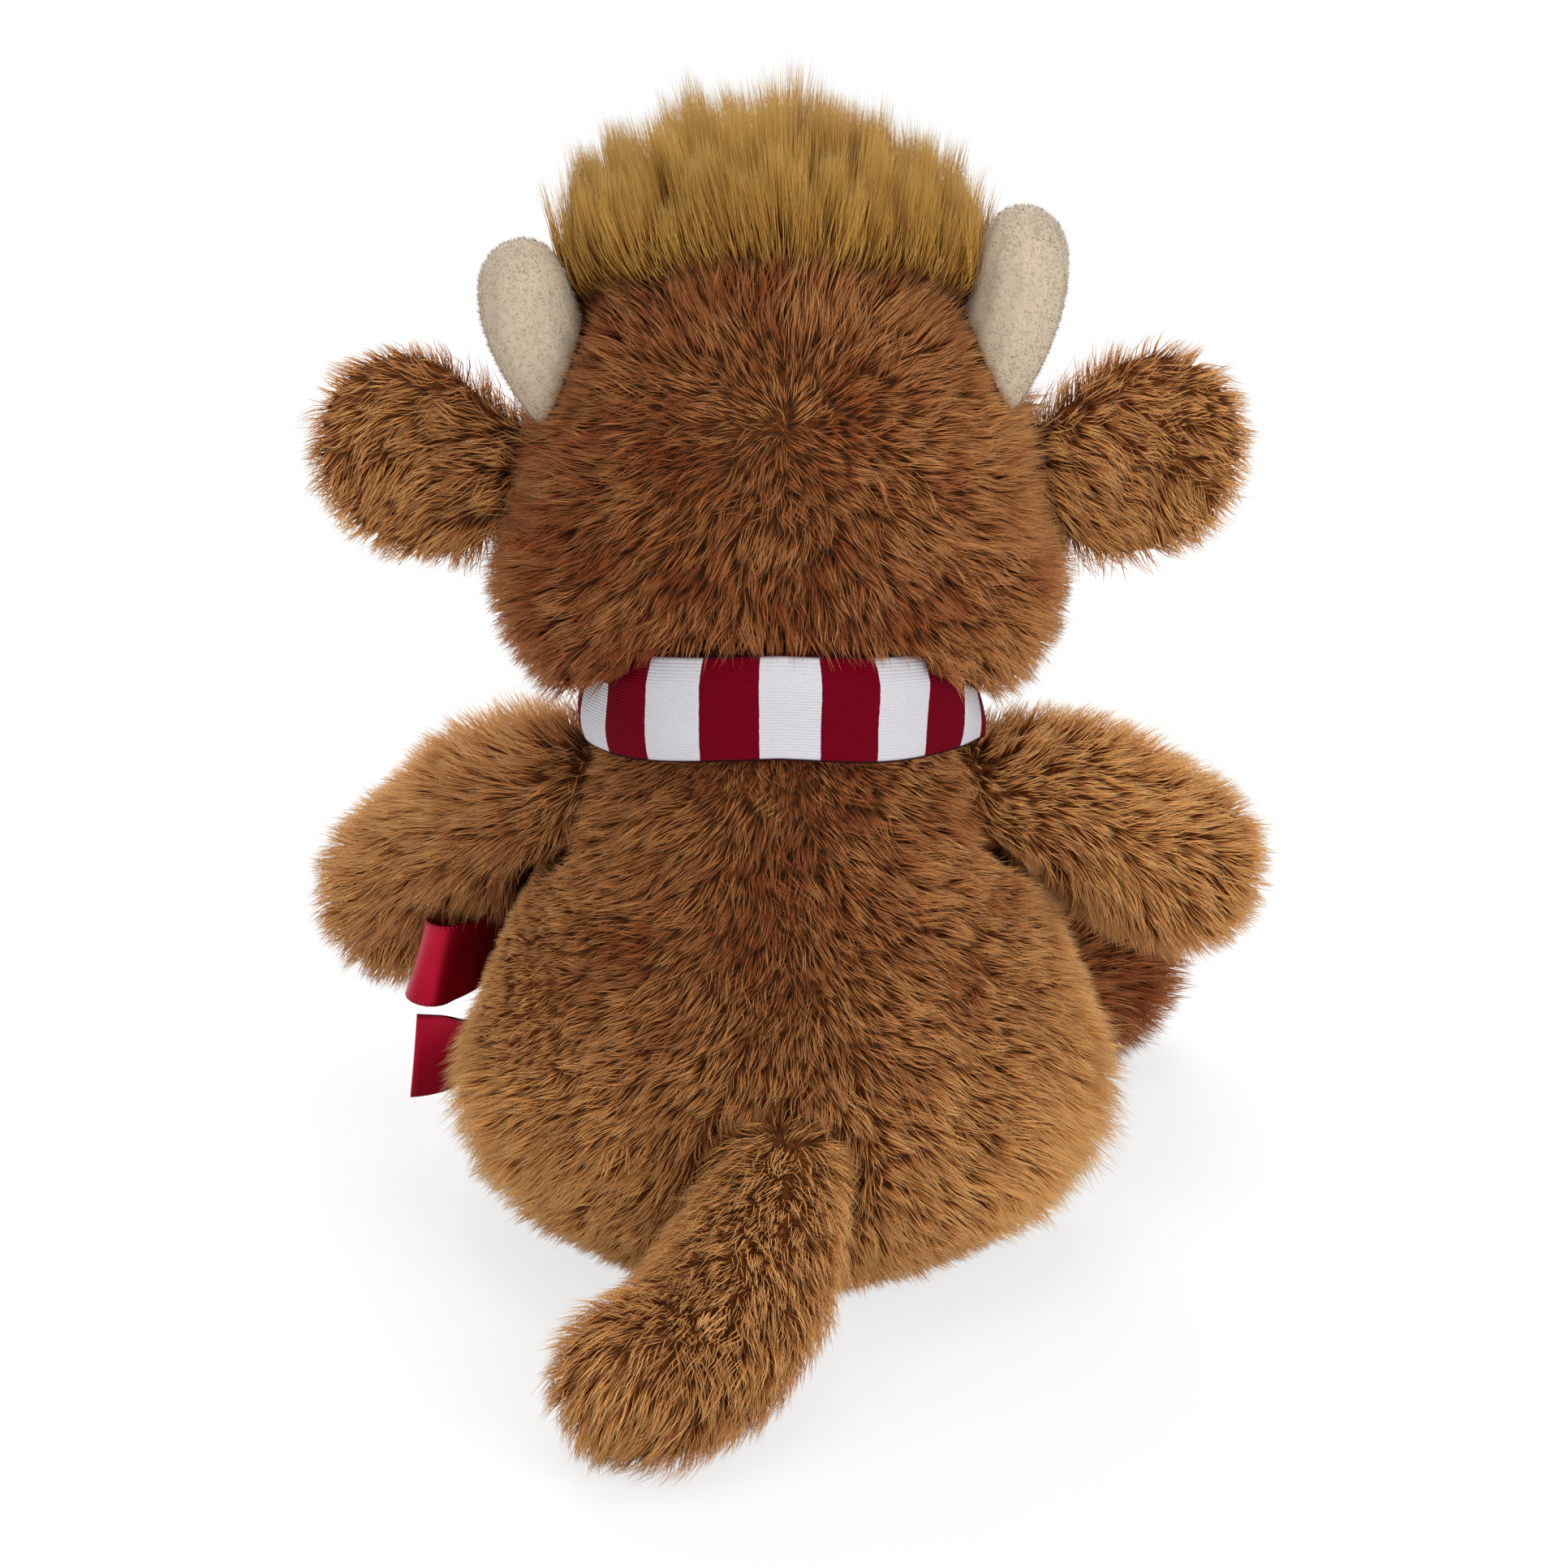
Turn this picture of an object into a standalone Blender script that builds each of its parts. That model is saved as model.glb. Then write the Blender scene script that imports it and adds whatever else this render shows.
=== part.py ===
"""A sitting plush cow: stuffed body, turning head, hinged limbs, ears and tail, scarf and bow."""

import math

import bmesh
import bpy
import numpy as np
from mathutils import Matrix, Vector

# Fits: the gap between neighbouring pieces, and how far a cutter runs past what it cuts.
CLEARANCE = 0.0003
OVERRUN = 0.010
SEAT_FLAT_DEPTH = 0.0005

# Body, a pear that stands on its flattened seat and ends in a round neck.
TORSO_HEIGHT = 0.160
TORSO_HALF_WIDTH = 0.068
TORSO_HALF_DEPTH = 0.058
NECK_RADIUS = 0.029

# Head, a rounded block that is widest at the cheeks; the neck laps into its underside.
HEAD_LAP = 0.0325
HEAD_BASE = TORSO_HEIGHT - HEAD_LAP
HEAD_HEIGHT = 0.103
HEAD_HALF_WIDTH = 0.060
HEAD_HALF_DEPTH = 0.051
HEAD_FORWARD = 0.012

# Muzzle and nostrils.
MUZZLE_HALF_WIDTH = 0.032
MUZZLE_HALF_DEPTH = 0.022
MUZZLE_HALF_HEIGHT = 0.021
MUZZLE_RISE_SHARE = 0.2816
NOSTRIL_HALF_WIDTH = 0.0036
NOSTRIL_HALF_HEIGHT = 0.0026
NOSTRIL_SPREAD = 0.011
NOSTRIL_RISE = 0.004
NOSTRIL_DEPTH = 0.0022

# Safety eyes: a domed head on a stem, held by a washer inside the head.
EYE_RADIUS = 0.0055
EYE_DOME = 0.0042
EYE_RISE_SHARE = 0.5437
EYE_ANGLE = math.radians(25)
EYE_STEM_RADIUS = 0.0022
EYE_STEM_LENGTH = 0.013
EYE_WASHER_RADIUS = 0.0075
EYE_WASHER_THICKNESS = 0.0016
EYE_WASHER_SET_BACK = 0.0075

# Horns.
HORN_RADIUS = 0.0103
HORN_LEAN = 0.011
HORN_LEFT_BASE_X = 0.0435
HORN_RIGHT_BASE_X = 0.0408
HORN_RISE_SHARE = 0.6214
HORN_SET_BACK = 0.004
HORN_LEFT_LENGTH = 0.0385
HORN_RIGHT_LENGTH = 0.0460

# Ears and their linings.
EAR_LENGTH = 0.0458
EAR_HALF_HEIGHT = 0.0255
EAR_HALF_THICKNESS = 0.0068
EAR_RISE_SHARE = 0.4709
EAR_TIP_LIFT = 0.007
EAR_CUP = 0.006
EAR_HINGE_RADIUS = 0.0052
EAR_HINGE_HALF_LENGTH = 0.0115
EAR_RANGE = math.radians(20)
LINING_THICKNESS = 0.0016

# Hair tuft across the crown.
TUFT_HALF_WIDTH = 0.0425
TUFT_HALF_DEPTH = 0.017
TUFT_HEIGHT = 0.052
TUFT_RISE_SHARE = 0.8058
TUFT_FORWARD = 0.003

# Arms: where the shoulder lies on the body, and how far the hand reaches from it.
ARM_ROOT_RADIUS = 0.0160
ARM_RADIUS = 0.0182
HAND_RADIUS = 0.0192
SHOULDER_HEIGHT_SHARE = 0.634375
SHOULDER_ANGLE = math.radians(10)
ARM_ARCH = 0.006
LEFT_REACH = Vector((0.037, -0.0535, -0.0470))
RIGHT_REACH = Vector((-0.0405, -0.014, -0.0215))
LEFT_ARM_RANGE = (math.radians(0), math.radians(30))
RIGHT_ARM_RANGE = (math.radians(-8), math.radians(20))

# Legs: thigh, foot and sole.
LEG_ROOT_RADIUS = 0.0185
LEG_RADIUS = 0.0215
FOOT_RADIUS = 0.0255
FOOT_HALF_HEIGHT = 0.0275
LEG_LENGTH = 0.079
LEG_SWELL_SHARE = 0.45
HIP_ANGLE = math.radians(61)
LEFT_LEG_SPLAY = math.radians(0)
RIGHT_LEG_SPLAY = math.radians(36)
LEFT_LEG_RANGE = (math.radians(0), math.radians(20))
RIGHT_LEG_RANGE = (math.radians(0), math.radians(25))
SOLE_INSET = 0.007
SOLE_THICKNESS = 0.0022

# Tail.
TAIL_ROOT_RADIUS = 0.0150
TAIL_RADIUS = 0.0195
TAIL_HEIGHT_SHARE = 0.25
TAIL_BACK = 0.053
TAIL_SIDE = 0.032
TAIL_RANGE = math.radians(20)

# Scarf: a band round the neck, its knot under the chin and its two ends.
SCARF_RADIUS = 0.0408
SCARF_THICKNESS = 0.0030
SCARF_WIDTH = 0.0210
SCARF_TOP_SHARE = 0.978125
SCARF_BACK_RISE = 0.0230
SCARF_FRONT_DROP = 0.0215
SCARF_DIP_POWER = 0.75
SCARF_FOLD = 0.0016
SCARF_KNOT_HALF_WIDTH = 0.0125
SCARF_KNOT_HALF_DEPTH = 0.0095
SCARF_KNOT_HALF_HEIGHT = 0.0110
SCARF_END_WIDTH = 0.024
SCARF_END_THICKNESS = 0.0028

# Ribbon bow on the left flank.
RIBBON_WIDTH = 0.0195
RIBBON_THICKNESS = 0.0008
BOW_HEIGHT_SHARE = 0.3469
BOW_ANGLE = math.radians(34)
BOW_STAND_OFF = 0.0038
BOW_KNOT_HALF_WIDTH = 0.0042
BOW_KNOT_HALF_DEPTH = 0.0032
BOW_KNOT_HALF_HEIGHT = 0.0068
BOW_LOOP_HALF_OPENING = 0.0030
BOW_LEFT_REACH = Vector((0.0204, 0.0126, -0.0005))
BOW_RIGHT_REACH = Vector((-0.0370, -0.0310, 0.0185))
BOW_TAIL_CORNER = Vector((0.0010, 0.0020, -0.0285))
BOW_TAIL_REACH = Vector((0.0220, 0.0070, -0.0263))
BOW_HANGING_CORNER = Vector((0.0020, -0.0090, -0.0255))
BOW_HANGING_REACH = Vector((0.0010, -0.0110, -0.0435))

# How finely each form is divided.
SIDES = 30
LIMB_SIDES = 18
SMALL_SIDES = 12
BALL_SIDES = 18
SWEEP_STEP = math.radians(7)

# Materials, as the photograph shows them: linear colour, roughness, metallic value.
BROWN_PILE = ("brown_pile", (0.240, 0.090, 0.028), 0.95, 0.0)
OCHRE_PILE = ("ochre_pile", (0.400, 0.210, 0.050), 0.80, 0.0)
CREAM_MINKY = ("cream_minky", (0.600, 0.480, 0.340), 0.90, 0.0)
STRIPED_VELOUR = ("striped_velour", (0.300, 0.010, 0.045), 0.85, 0.0)
CRIMSON_SATIN = ("crimson_satin", (0.280, 0.002, 0.020), 0.35, 0.0)
EYE_GLOSS = ("eye_gloss", (0.010, 0.006, 0.004), 0.12, 0.0)
WASHER_PLASTIC = ("washer_plastic", (0.550, 0.550, 0.540), 0.50, 0.0)
NOSTRIL_THREAD = ("nostril_thread", (0.060, 0.020, 0.010), 0.70, 0.0)


def clear_scene():
    for obj in list(bpy.data.objects):
        bpy.data.objects.remove(obj, do_unlink=True)


def material(spec):
    name, colour, roughness, metallic = spec
    found = bpy.data.materials.get(name)
    if found:
        return found
    made = bpy.data.materials.new(name)
    made.use_nodes = True
    shader = made.node_tree.nodes["Principled BSDF"]
    shader.inputs["Base Color"].default_value = (*colour, 1.0)
    shader.inputs["Roughness"].default_value = roughness
    shader.inputs["Metallic"].default_value = metallic
    return made


def smooth_rows(rows, steps):
    """Rows of numbers, with a smooth curve through them cut into steps between each two."""
    rows = np.array(rows, float)
    padded = np.vstack([2 * rows[0] - rows[1], rows, 2 * rows[-1] - rows[-2]])
    found = []
    for i in range(len(rows) - 1):
        a, b, c, d = padded[i : i + 4]
        for t in np.arange(steps) / steps:
            bend = (2 * a - 5 * b + 4 * c - d) * t**2 + (3 * b - 3 * c + d - a) * t**3
            found.append((2 * b + (c - a) * t + bend) / 2)
    return np.vstack([found, rows[-1:]])


def ring(centre, across, along, half_across, half_along, power, sides):
    """Points of a superellipse; a power of 2 is an ellipse and a higher one is boxier."""
    found = []
    for turn in np.arange(sides) * 2 * math.pi / sides:
        x = math.copysign(abs(math.cos(turn)) ** (2 / power), math.cos(turn))
        y = math.copysign(abs(math.sin(turn)) ** (2 / power), math.sin(turn))
        found.append(centre + across * half_across * x + along * half_along * y)
    return found


def node(name, build, spec, origin=Vector()):
    """A mesh object whose points are given in world places, with its origin at the given point."""
    mesh = bpy.data.meshes.new(name)
    work = bmesh.new()
    build(work)
    bmesh.ops.recalc_face_normals(work, faces=work.faces)
    bmesh.ops.translate(work, verts=work.verts, vec=-origin)
    work.to_mesh(mesh)
    work.free()
    obj = bpy.data.objects.new(name, mesh)
    obj.location = origin
    bpy.context.scene.collection.objects.link(obj)
    if spec:
        mesh.materials.append(material(spec))
    mesh.shade_smooth()
    mesh.set_sharp_from_angle(angle=math.radians(50))
    return obj


def skin_rings(work, rings, start, end):
    """Faces between successive rings, closed at both ends by a fan to a pole."""
    verts = [[work.verts.new(point) for point in points] for points in rings]
    sides = len(verts[0])
    for low, high in zip(verts, verts[1:]):
        for i in range(sides):
            j = (i + 1) % sides
            work.faces.new((low[i], low[j], high[j], high[i]))
    for pole_place, rim in ((start, verts[0]), (end, verts[-1])):
        pole = work.verts.new(pole_place)
        for i in range(sides):
            work.faces.new((pole, rim[i], rim[(i + 1) % sides]))


def as_cutter(obj):
    obj.hide_render = True
    obj.display_type = "WIRE"
    return obj


def boolean(obj, other, operation):
    modifier = obj.modifiers.new(operation.lower(), "BOOLEAN")
    modifier.operation = operation
    modifier.solver = "EXACT"
    modifier.object = other


def cut(obj, *cutters):
    for cutter in cutters:
        boolean(obj, cutter, "DIFFERENCE")


class StuffedBlock:
    """A stuffed form given by its height and by shares of its half width, half depth and lean."""

    def __init__(self, base, height, half_width, half_depth, forward, shares, power):
        self.base, self.height, self.forward = base, height, forward
        self.half_width, self.half_depth, self.power = half_width, half_depth, power
        self.rows = smooth_rows(shares, 2)

    def row(self, height):
        share = (height - self.base) / self.height
        return [np.interp(share, self.rows[:, 0], column) for column in self.rows.T[1:]]

    def point(self, height, angle, stand_off=0.0):
        """The place on the surface at this height; angle runs from +X, and the front is at -90."""
        width, depth, lean = self.row(height)
        across = self.half_width * width + stand_off
        along = self.half_depth * depth + stand_off
        x = math.copysign(abs(math.cos(angle)) ** (2 / self.power), math.cos(angle))
        y = math.copysign(abs(math.sin(angle)) ** (2 / self.power), math.sin(angle))
        return Vector((across * x, along * y - self.forward * lean, height))

    def build(self, work, grow=0.0):
        rings = []
        for share, width, depth, lean in self.rows[1:-1]:
            rings.append(
                ring(
                    Vector((0, -self.forward * lean, self.base + self.height * share)),
                    Vector((1, 0, 0)),
                    Vector((0, 1, 0)),
                    self.half_width * width + grow,
                    self.half_depth * depth + grow,
                    self.power,
                    SIDES,
                )
            )
        ends = []
        for row, way in ((self.rows[0], -1), (self.rows[-1], 1)):
            height = self.base + self.height * row[0] + way * grow
            ends.append(Vector((0, -self.forward * row[3], height)))
        skin_rings(work, rings, *ends)


# Height, half width, half depth and lean as shares, from the seat to the top of the neck.
NECK_SHARE = NECK_RADIUS / TORSO_HALF_WIDTH
NECK_DEPTH_SHARE = NECK_RADIUS / TORSO_HALF_DEPTH
TORSO_SHARES = (
    (-0.004, 0.00, 0.00, 1.0),
    (0.000, 0.40, 0.44, 1.0),
    (0.016, 0.61, 0.63, 1.0),
    (0.075, 0.82, 0.83, 1.0),
    (0.165, 0.95, 0.96, 1.0),
    (0.280, 1.00, 1.00, 1.0),
    (0.400, 0.94, 0.95, 1.0),
    (0.525, 0.80, 0.83, 0.9),
    (0.620, 0.68, 0.73, 0.6),
    (0.715, 0.595, 0.65, 0.2),
    (0.800, 0.53, 0.60, 0.0),
    (0.880, NECK_SHARE * 1.06, NECK_DEPTH_SHARE * 1.06, 0.0),
    (0.940, NECK_SHARE, NECK_DEPTH_SHARE, 0.0),
    (0.985, NECK_SHARE * 0.72, NECK_DEPTH_SHARE * 0.72, 0.0),
    (1.000, 0.00, 0.00, 0.0),
)
BELLY_FORWARD = 0.003
TORSO = StuffedBlock(
    0.0, TORSO_HEIGHT, TORSO_HALF_WIDTH, TORSO_HALF_DEPTH, BELLY_FORWARD, TORSO_SHARES, 2.0
)

HEAD_SHARES = (
    (0.000, 0.00, 0.00, 1.0),
    (0.012, 0.62, 0.66, 1.0),
    (0.060, 0.82, 0.81, 1.0),
    (0.150, 0.955, 0.93, 1.0),
    (0.265, 1.00, 1.00, 1.0),
    (0.450, 0.925, 1.00, 1.0),
    (0.640, 0.825, 0.95, 1.0),
    (0.820, 0.70, 0.82, 1.0),
    (0.925, 0.52, 0.62, 1.0),
    (0.985, 0.25, 0.31, 1.0),
    (1.000, 0.00, 0.00, 1.0),
)
HEAD = StuffedBlock(
    HEAD_BASE, HEAD_HEIGHT, HEAD_HALF_WIDTH, HEAD_HALF_DEPTH, HEAD_FORWARD, HEAD_SHARES, 2.3
)


def blank(name, block, grow):
    return as_cutter(node(name, lambda work: block.build(work, grow), None))


def ball(name, centre, radius):
    def build(work):
        place = Matrix.Translation(centre)
        bmesh.ops.create_uvsphere(
            work, u_segments=BALL_SIDES, v_segments=BALL_SIDES // 2, radius=radius, matrix=place
        )

    return as_cutter(node(name, build, None))


def dome_build(centre, axes, half_sizes, sides=SMALL_SIDES):
    """A builder of an ellipsoid with its own axes and half sizes."""

    def build(work):
        bmesh.ops.create_uvsphere(work, u_segments=sides, v_segments=sides // 2, radius=1)
        turned = Matrix([axis * half for axis, half in zip(axes, half_sizes)]).transposed()
        bmesh.ops.transform(work, matrix=turned.to_4x4(), verts=work.verts)
        bmesh.ops.translate(work, verts=work.verts, vec=centre)

    return build


def floor_cutter():
    """Everything below the plane that the cow sits on."""

    def build(work):
        reach = TORSO_HEIGHT + LEG_LENGTH
        size = Matrix.Diagonal((2 * reach, 2 * reach, OVERRUN, 1))
        drop = Matrix.Translation((0, 0, -OVERRUN / 2))
        bmesh.ops.create_cube(work, size=1, matrix=drop @ size)

    return as_cutter(node("below_floor", build, None))


def swept_blanks(name, blank_obj, pivot, axis, limits):
    """Copies of a blank turned back through a joint's range, as the moving piece meets it."""
    low, high = limits
    count = max(1, math.ceil((high - low) / SWEEP_STEP))
    for i in range(count + 1):
        turn = low + (high - low) * i / count
        copy = as_cutter(bpy.data.objects.new(f"{name}_{i}", blank_obj.data))
        back = Matrix.Rotation(-turn, 4, axis)
        about = Matrix.Translation(pivot) @ back @ Matrix.Translation(-pivot)
        copy.matrix_world = about @ Matrix.Translation(blank_obj.location)
        bpy.context.scene.collection.objects.link(copy)
        yield copy


def limb_build(spine, side, radii, sides=LIMB_SIDES, blunt=2.0):
    """A builder of a stuffed tube along a smooth spine; radii rows hold half side and half lift."""
    places = smooth_rows([(*point, *row) for point, row in zip(spine, radii)], 5)
    steps = np.linalg.norm(np.diff(places[:, :3], axis=0), axis=1)
    run = np.concatenate([[0], np.cumsum(steps)])
    length = run[-1]
    turns = np.linspace(0, math.pi, 17)
    shares = (1 - np.cos(turns)) / 2

    def build(work):
        rings = []
        for share in shares[1:-1]:
            at = share * length
            row = [np.interp(at, run, column) for column in places.T]
            near = [np.interp(at + 0.02 * length, run, column) for column in places.T[:3]]
            back = [np.interp(at - 0.02 * length, run, column) for column in places.T[:3]]
            ahead = (Vector(near) - Vector(back)).normalized()
            lift = side.cross(ahead).normalized()
            across = ahead.cross(lift)
            cap = min(1, at / row[3], (length - at) / row[3])
            round_off = (1 - (1 - cap) ** blunt) ** (1 / blunt)
            rings.append(
                ring(Vector(row[:3]), across, lift, row[3] * round_off, row[4] * round_off, 2, sides)
            )
        skin_rings(work, rings, Vector(places[0, :3]), Vector(places[-1, :3]))

    return build


def make_torso():
    torso = node("torso", TORSO.build, BROWN_PILE)
    cut(torso, bpy.data.objects["below_floor"])
    return torso


def recess_build(work):
    """The hollow that lets the head turn on the neck: a collar for the scarf, then the neck."""
    collar = SCARF_RADIUS + SCARF_FOLD + 2 * CLEARANCE
    scarf_top = TORSO_HEIGHT * SCARF_TOP_SHARE
    neck = [
        (TORSO_HALF_WIDTH * width + CLEARANCE, TORSO_HEIGHT * share + CLEARANCE)
        for share, width, depth, lean in TORSO.rows
        if TORSO_HEIGHT * share > scarf_top
    ]
    outline = [(collar, HEAD_BASE - OVERRUN), (collar, scarf_top - SCARF_FOLD), *neck[:-1]]
    rings = [
        ring(Vector((0, 0, height)), Vector((1, 0, 0)), Vector((0, 1, 0)), reach, reach, 2, SIDES)
        for reach, height in outline
    ]
    bottom = Vector((0, 0, HEAD_BASE - OVERRUN))
    skin_rings(work, rings, bottom, Vector((0, 0, neck[-1][1])))


def make_head():
    head = node("head", HEAD.build, BROWN_PILE)
    cut(head, as_cutter(node("neck_recess", recess_build, None)))
    return head


def make_muzzle(head_blank):
    height = HEAD_BASE + HEAD_HEIGHT * MUZZLE_RISE_SHARE
    centre = HEAD.point(height, math.radians(-90)) + Vector((0, MUZZLE_HALF_DEPTH * 0.25, 0))
    axes = (Vector((1, 0, 0)), Vector((0, 1, 0)), Vector((0, 0, 1)))
    halves = (MUZZLE_HALF_WIDTH, MUZZLE_HALF_DEPTH, MUZZLE_HALF_HEIGHT)
    muzzle = node("muzzle", dome_build(centre, axes, halves, LIMB_SIDES), CREAM_MINKY)
    cut(muzzle, head_blank)
    grown = [half + CLEARANCE for half in halves]
    muzzle_blank = node("muzzle_blank", dome_build(centre, axes, grown, LIMB_SIDES), None)
    as_cutter(muzzle_blank)
    for side, name in ((1, "nostril_left"), (-1, "nostril_right")):
        x = side * NOSTRIL_SPREAD
        z = NOSTRIL_RISE
        share = 1 - (x / halves[0]) ** 2 - (z / halves[2]) ** 2
        place = centre + Vector((x, -halves[1] * math.sqrt(share), z))
        sizes = (NOSTRIL_HALF_WIDTH, NOSTRIL_DEPTH, NOSTRIL_HALF_HEIGHT)
        nostril = node(name, dome_build(place, axes, sizes), NOSTRIL_THREAD)
        cut(nostril, muzzle_blank)


def turned_build(outline, centre, axis, beside=Vector((0, 0, 1))):
    """A builder of a form turned about an axis from points of radius and distance along it."""

    def build(work):
        across = axis.cross(beside).normalized()
        along = axis.cross(across)
        rings = [
            ring(centre + axis * reach, across, along, radius, radius, 2, SMALL_SIDES)
            for radius, reach in outline
        ]
        skin_rings(work, rings, centre + axis * outline[0][1], centre + axis * outline[-1][1])

    return build


def make_eye(side, head):
    """A glossy dome on a stem through the face, and the washer pressed on inside."""
    suffix = "left" if side > 0 else "right"
    angle = math.radians(-90) + side * EYE_ANGLE
    out = Vector((math.cos(angle), math.sin(angle), 0))
    face = HEAD.point(HEAD_BASE + HEAD_HEIGHT * EYE_RISE_SHARE, angle)
    seat = face - out * (EYE_DOME / 2)
    dome = [
        (EYE_RADIUS * math.cos(turn), EYE_DOME * math.sin(turn))
        for turn in np.linspace(0, math.pi / 2, 6)[:-1]
    ]
    stem = [(EYE_STEM_RADIUS, -EYE_STEM_LENGTH), (EYE_STEM_RADIUS, 0)]
    tip = [(EYE_STEM_RADIUS * 0.4, EYE_DOME)]
    node(f"eye_{suffix}", turned_build(stem + dome + tip, seat, out), EYE_GLOSS)
    washer_back = -EYE_WASHER_SET_BACK - EYE_WASHER_THICKNESS
    bore = EYE_STEM_RADIUS + CLEARANCE
    washer_outline = [
        (EYE_WASHER_RADIUS, washer_back),
        (EYE_WASHER_RADIUS, -EYE_WASHER_SET_BACK),
    ]
    washer = node(
        f"eye_washer_{suffix}", turned_build(washer_outline, seat, out), WASHER_PLASTIC
    )
    bore_outline = [(bore, -EYE_STEM_LENGTH - CLEARANCE), (bore, OVERRUN)]
    bore_cutter = turned_build(bore_outline, seat, out)
    cut(washer, as_cutter(node(f"eye_bore_{suffix}", bore_cutter, None)))
    wide = EYE_RADIUS + CLEARANCE
    pocket = EYE_WASHER_RADIUS + CLEARANCE
    room = [
        (bore, -EYE_STEM_LENGTH - CLEARANCE),
        (bore, washer_back - CLEARANCE),
        (pocket, washer_back - CLEARANCE),
        (pocket, -EYE_WASHER_SET_BACK + CLEARANCE),
        (bore, -EYE_WASHER_SET_BACK + CLEARANCE),
        (bore, -CLEARANCE),
        (wide, -CLEARANCE),
        (wide, OVERRUN),
    ]
    cut(head, as_cutter(node(f"eye_room_{suffix}", turned_build(room, seat, out), None)))


def make_horn(side, base_x, length, head_blank):
    """A stuffed horn that leans out, then curls back up towards its tip."""
    suffix = "left" if side > 0 else "right"
    back = -HEAD_FORWARD + HORN_SET_BACK
    foot = Vector((side * base_x, back, HEAD_BASE + HEAD_HEIGHT * HORN_RISE_SHARE))
    spine = [
        foot + Vector((-side * HORN_RADIUS * 0.8, 0, -HORN_RADIUS * 0.5)),
        foot + Vector((side * HORN_LEAN * 0.25, 0, length * 0.22)),
        foot + Vector((side * HORN_LEAN * 0.88, 0, length * 0.62)),
        foot + Vector((side * HORN_LEAN, 0, length + HORN_RADIUS * 0.15)),
    ]
    radii = [
        (HORN_RADIUS * 0.88, HORN_RADIUS * 0.88),
        (HORN_RADIUS, HORN_RADIUS),
        (HORN_RADIUS * 1.04, HORN_RADIUS),
        (HORN_RADIUS * 0.9, HORN_RADIUS * 0.86),
    ]
    horn = node(
        f"horn_{suffix}",
        limb_build(spine, Vector((0, 1, 0)), radii, SMALL_SIDES),
        CREAM_MINKY,
        foot,
    )
    cut(horn, head_blank)


def make_tuft(head_blank):
    """The upright mop of hair, seated on the crown between the horns."""
    root = HEAD_BASE + HEAD_HEIGHT * TUFT_RISE_SHARE
    centre = -HEAD_FORWARD - TUFT_FORWARD
    shares = (
        (0.00, 0.82, 0.60),
        (0.08, 0.96, 0.95),
        (0.35, 1.04, 1.00),
        (0.62, 1.00, 0.82),
        (0.84, 0.80, 0.58),
        (0.96, 0.45, 0.32),
    )
    rows = smooth_rows(shares, 3)

    def build(work):
        rings = [
            ring(
                Vector((0, centre, root + TUFT_HEIGHT * share)),
                Vector((1, 0, 0)),
                Vector((0, 1, 0)),
                TUFT_HALF_WIDTH * width,
                TUFT_HALF_DEPTH * depth,
                2.2,
                LIMB_SIDES,
            )
            for share, width, depth in rows
        ]
        ends = [Vector((0, centre, root + TUFT_HEIGHT * share)) for share in (0, 1)]
        skin_rings(work, rings, *ends)

    tuft = node("hair_tuft", build, OCHRE_PILE)
    cut(tuft, head_blank, *(bpy.data.objects[name] for name in ("horn_left_room", "horn_right_room")))


def room_for(name):
    """A slightly larger copy of a piece's uncut form, which its smaller neighbours are cut by."""
    piece = bpy.data.objects[name]
    copy = as_cutter(bpy.data.objects.new(f"{name}_room", piece.data.copy()))
    copy.location = piece.location
    bpy.context.scene.collection.objects.link(copy)
    work = bmesh.new()
    work.from_mesh(copy.data)
    for vert in work.verts:
        vert.co += vert.normal * 2 * CLEARANCE
    work.to_mesh(copy.data)
    work.free()
    return copy


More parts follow.
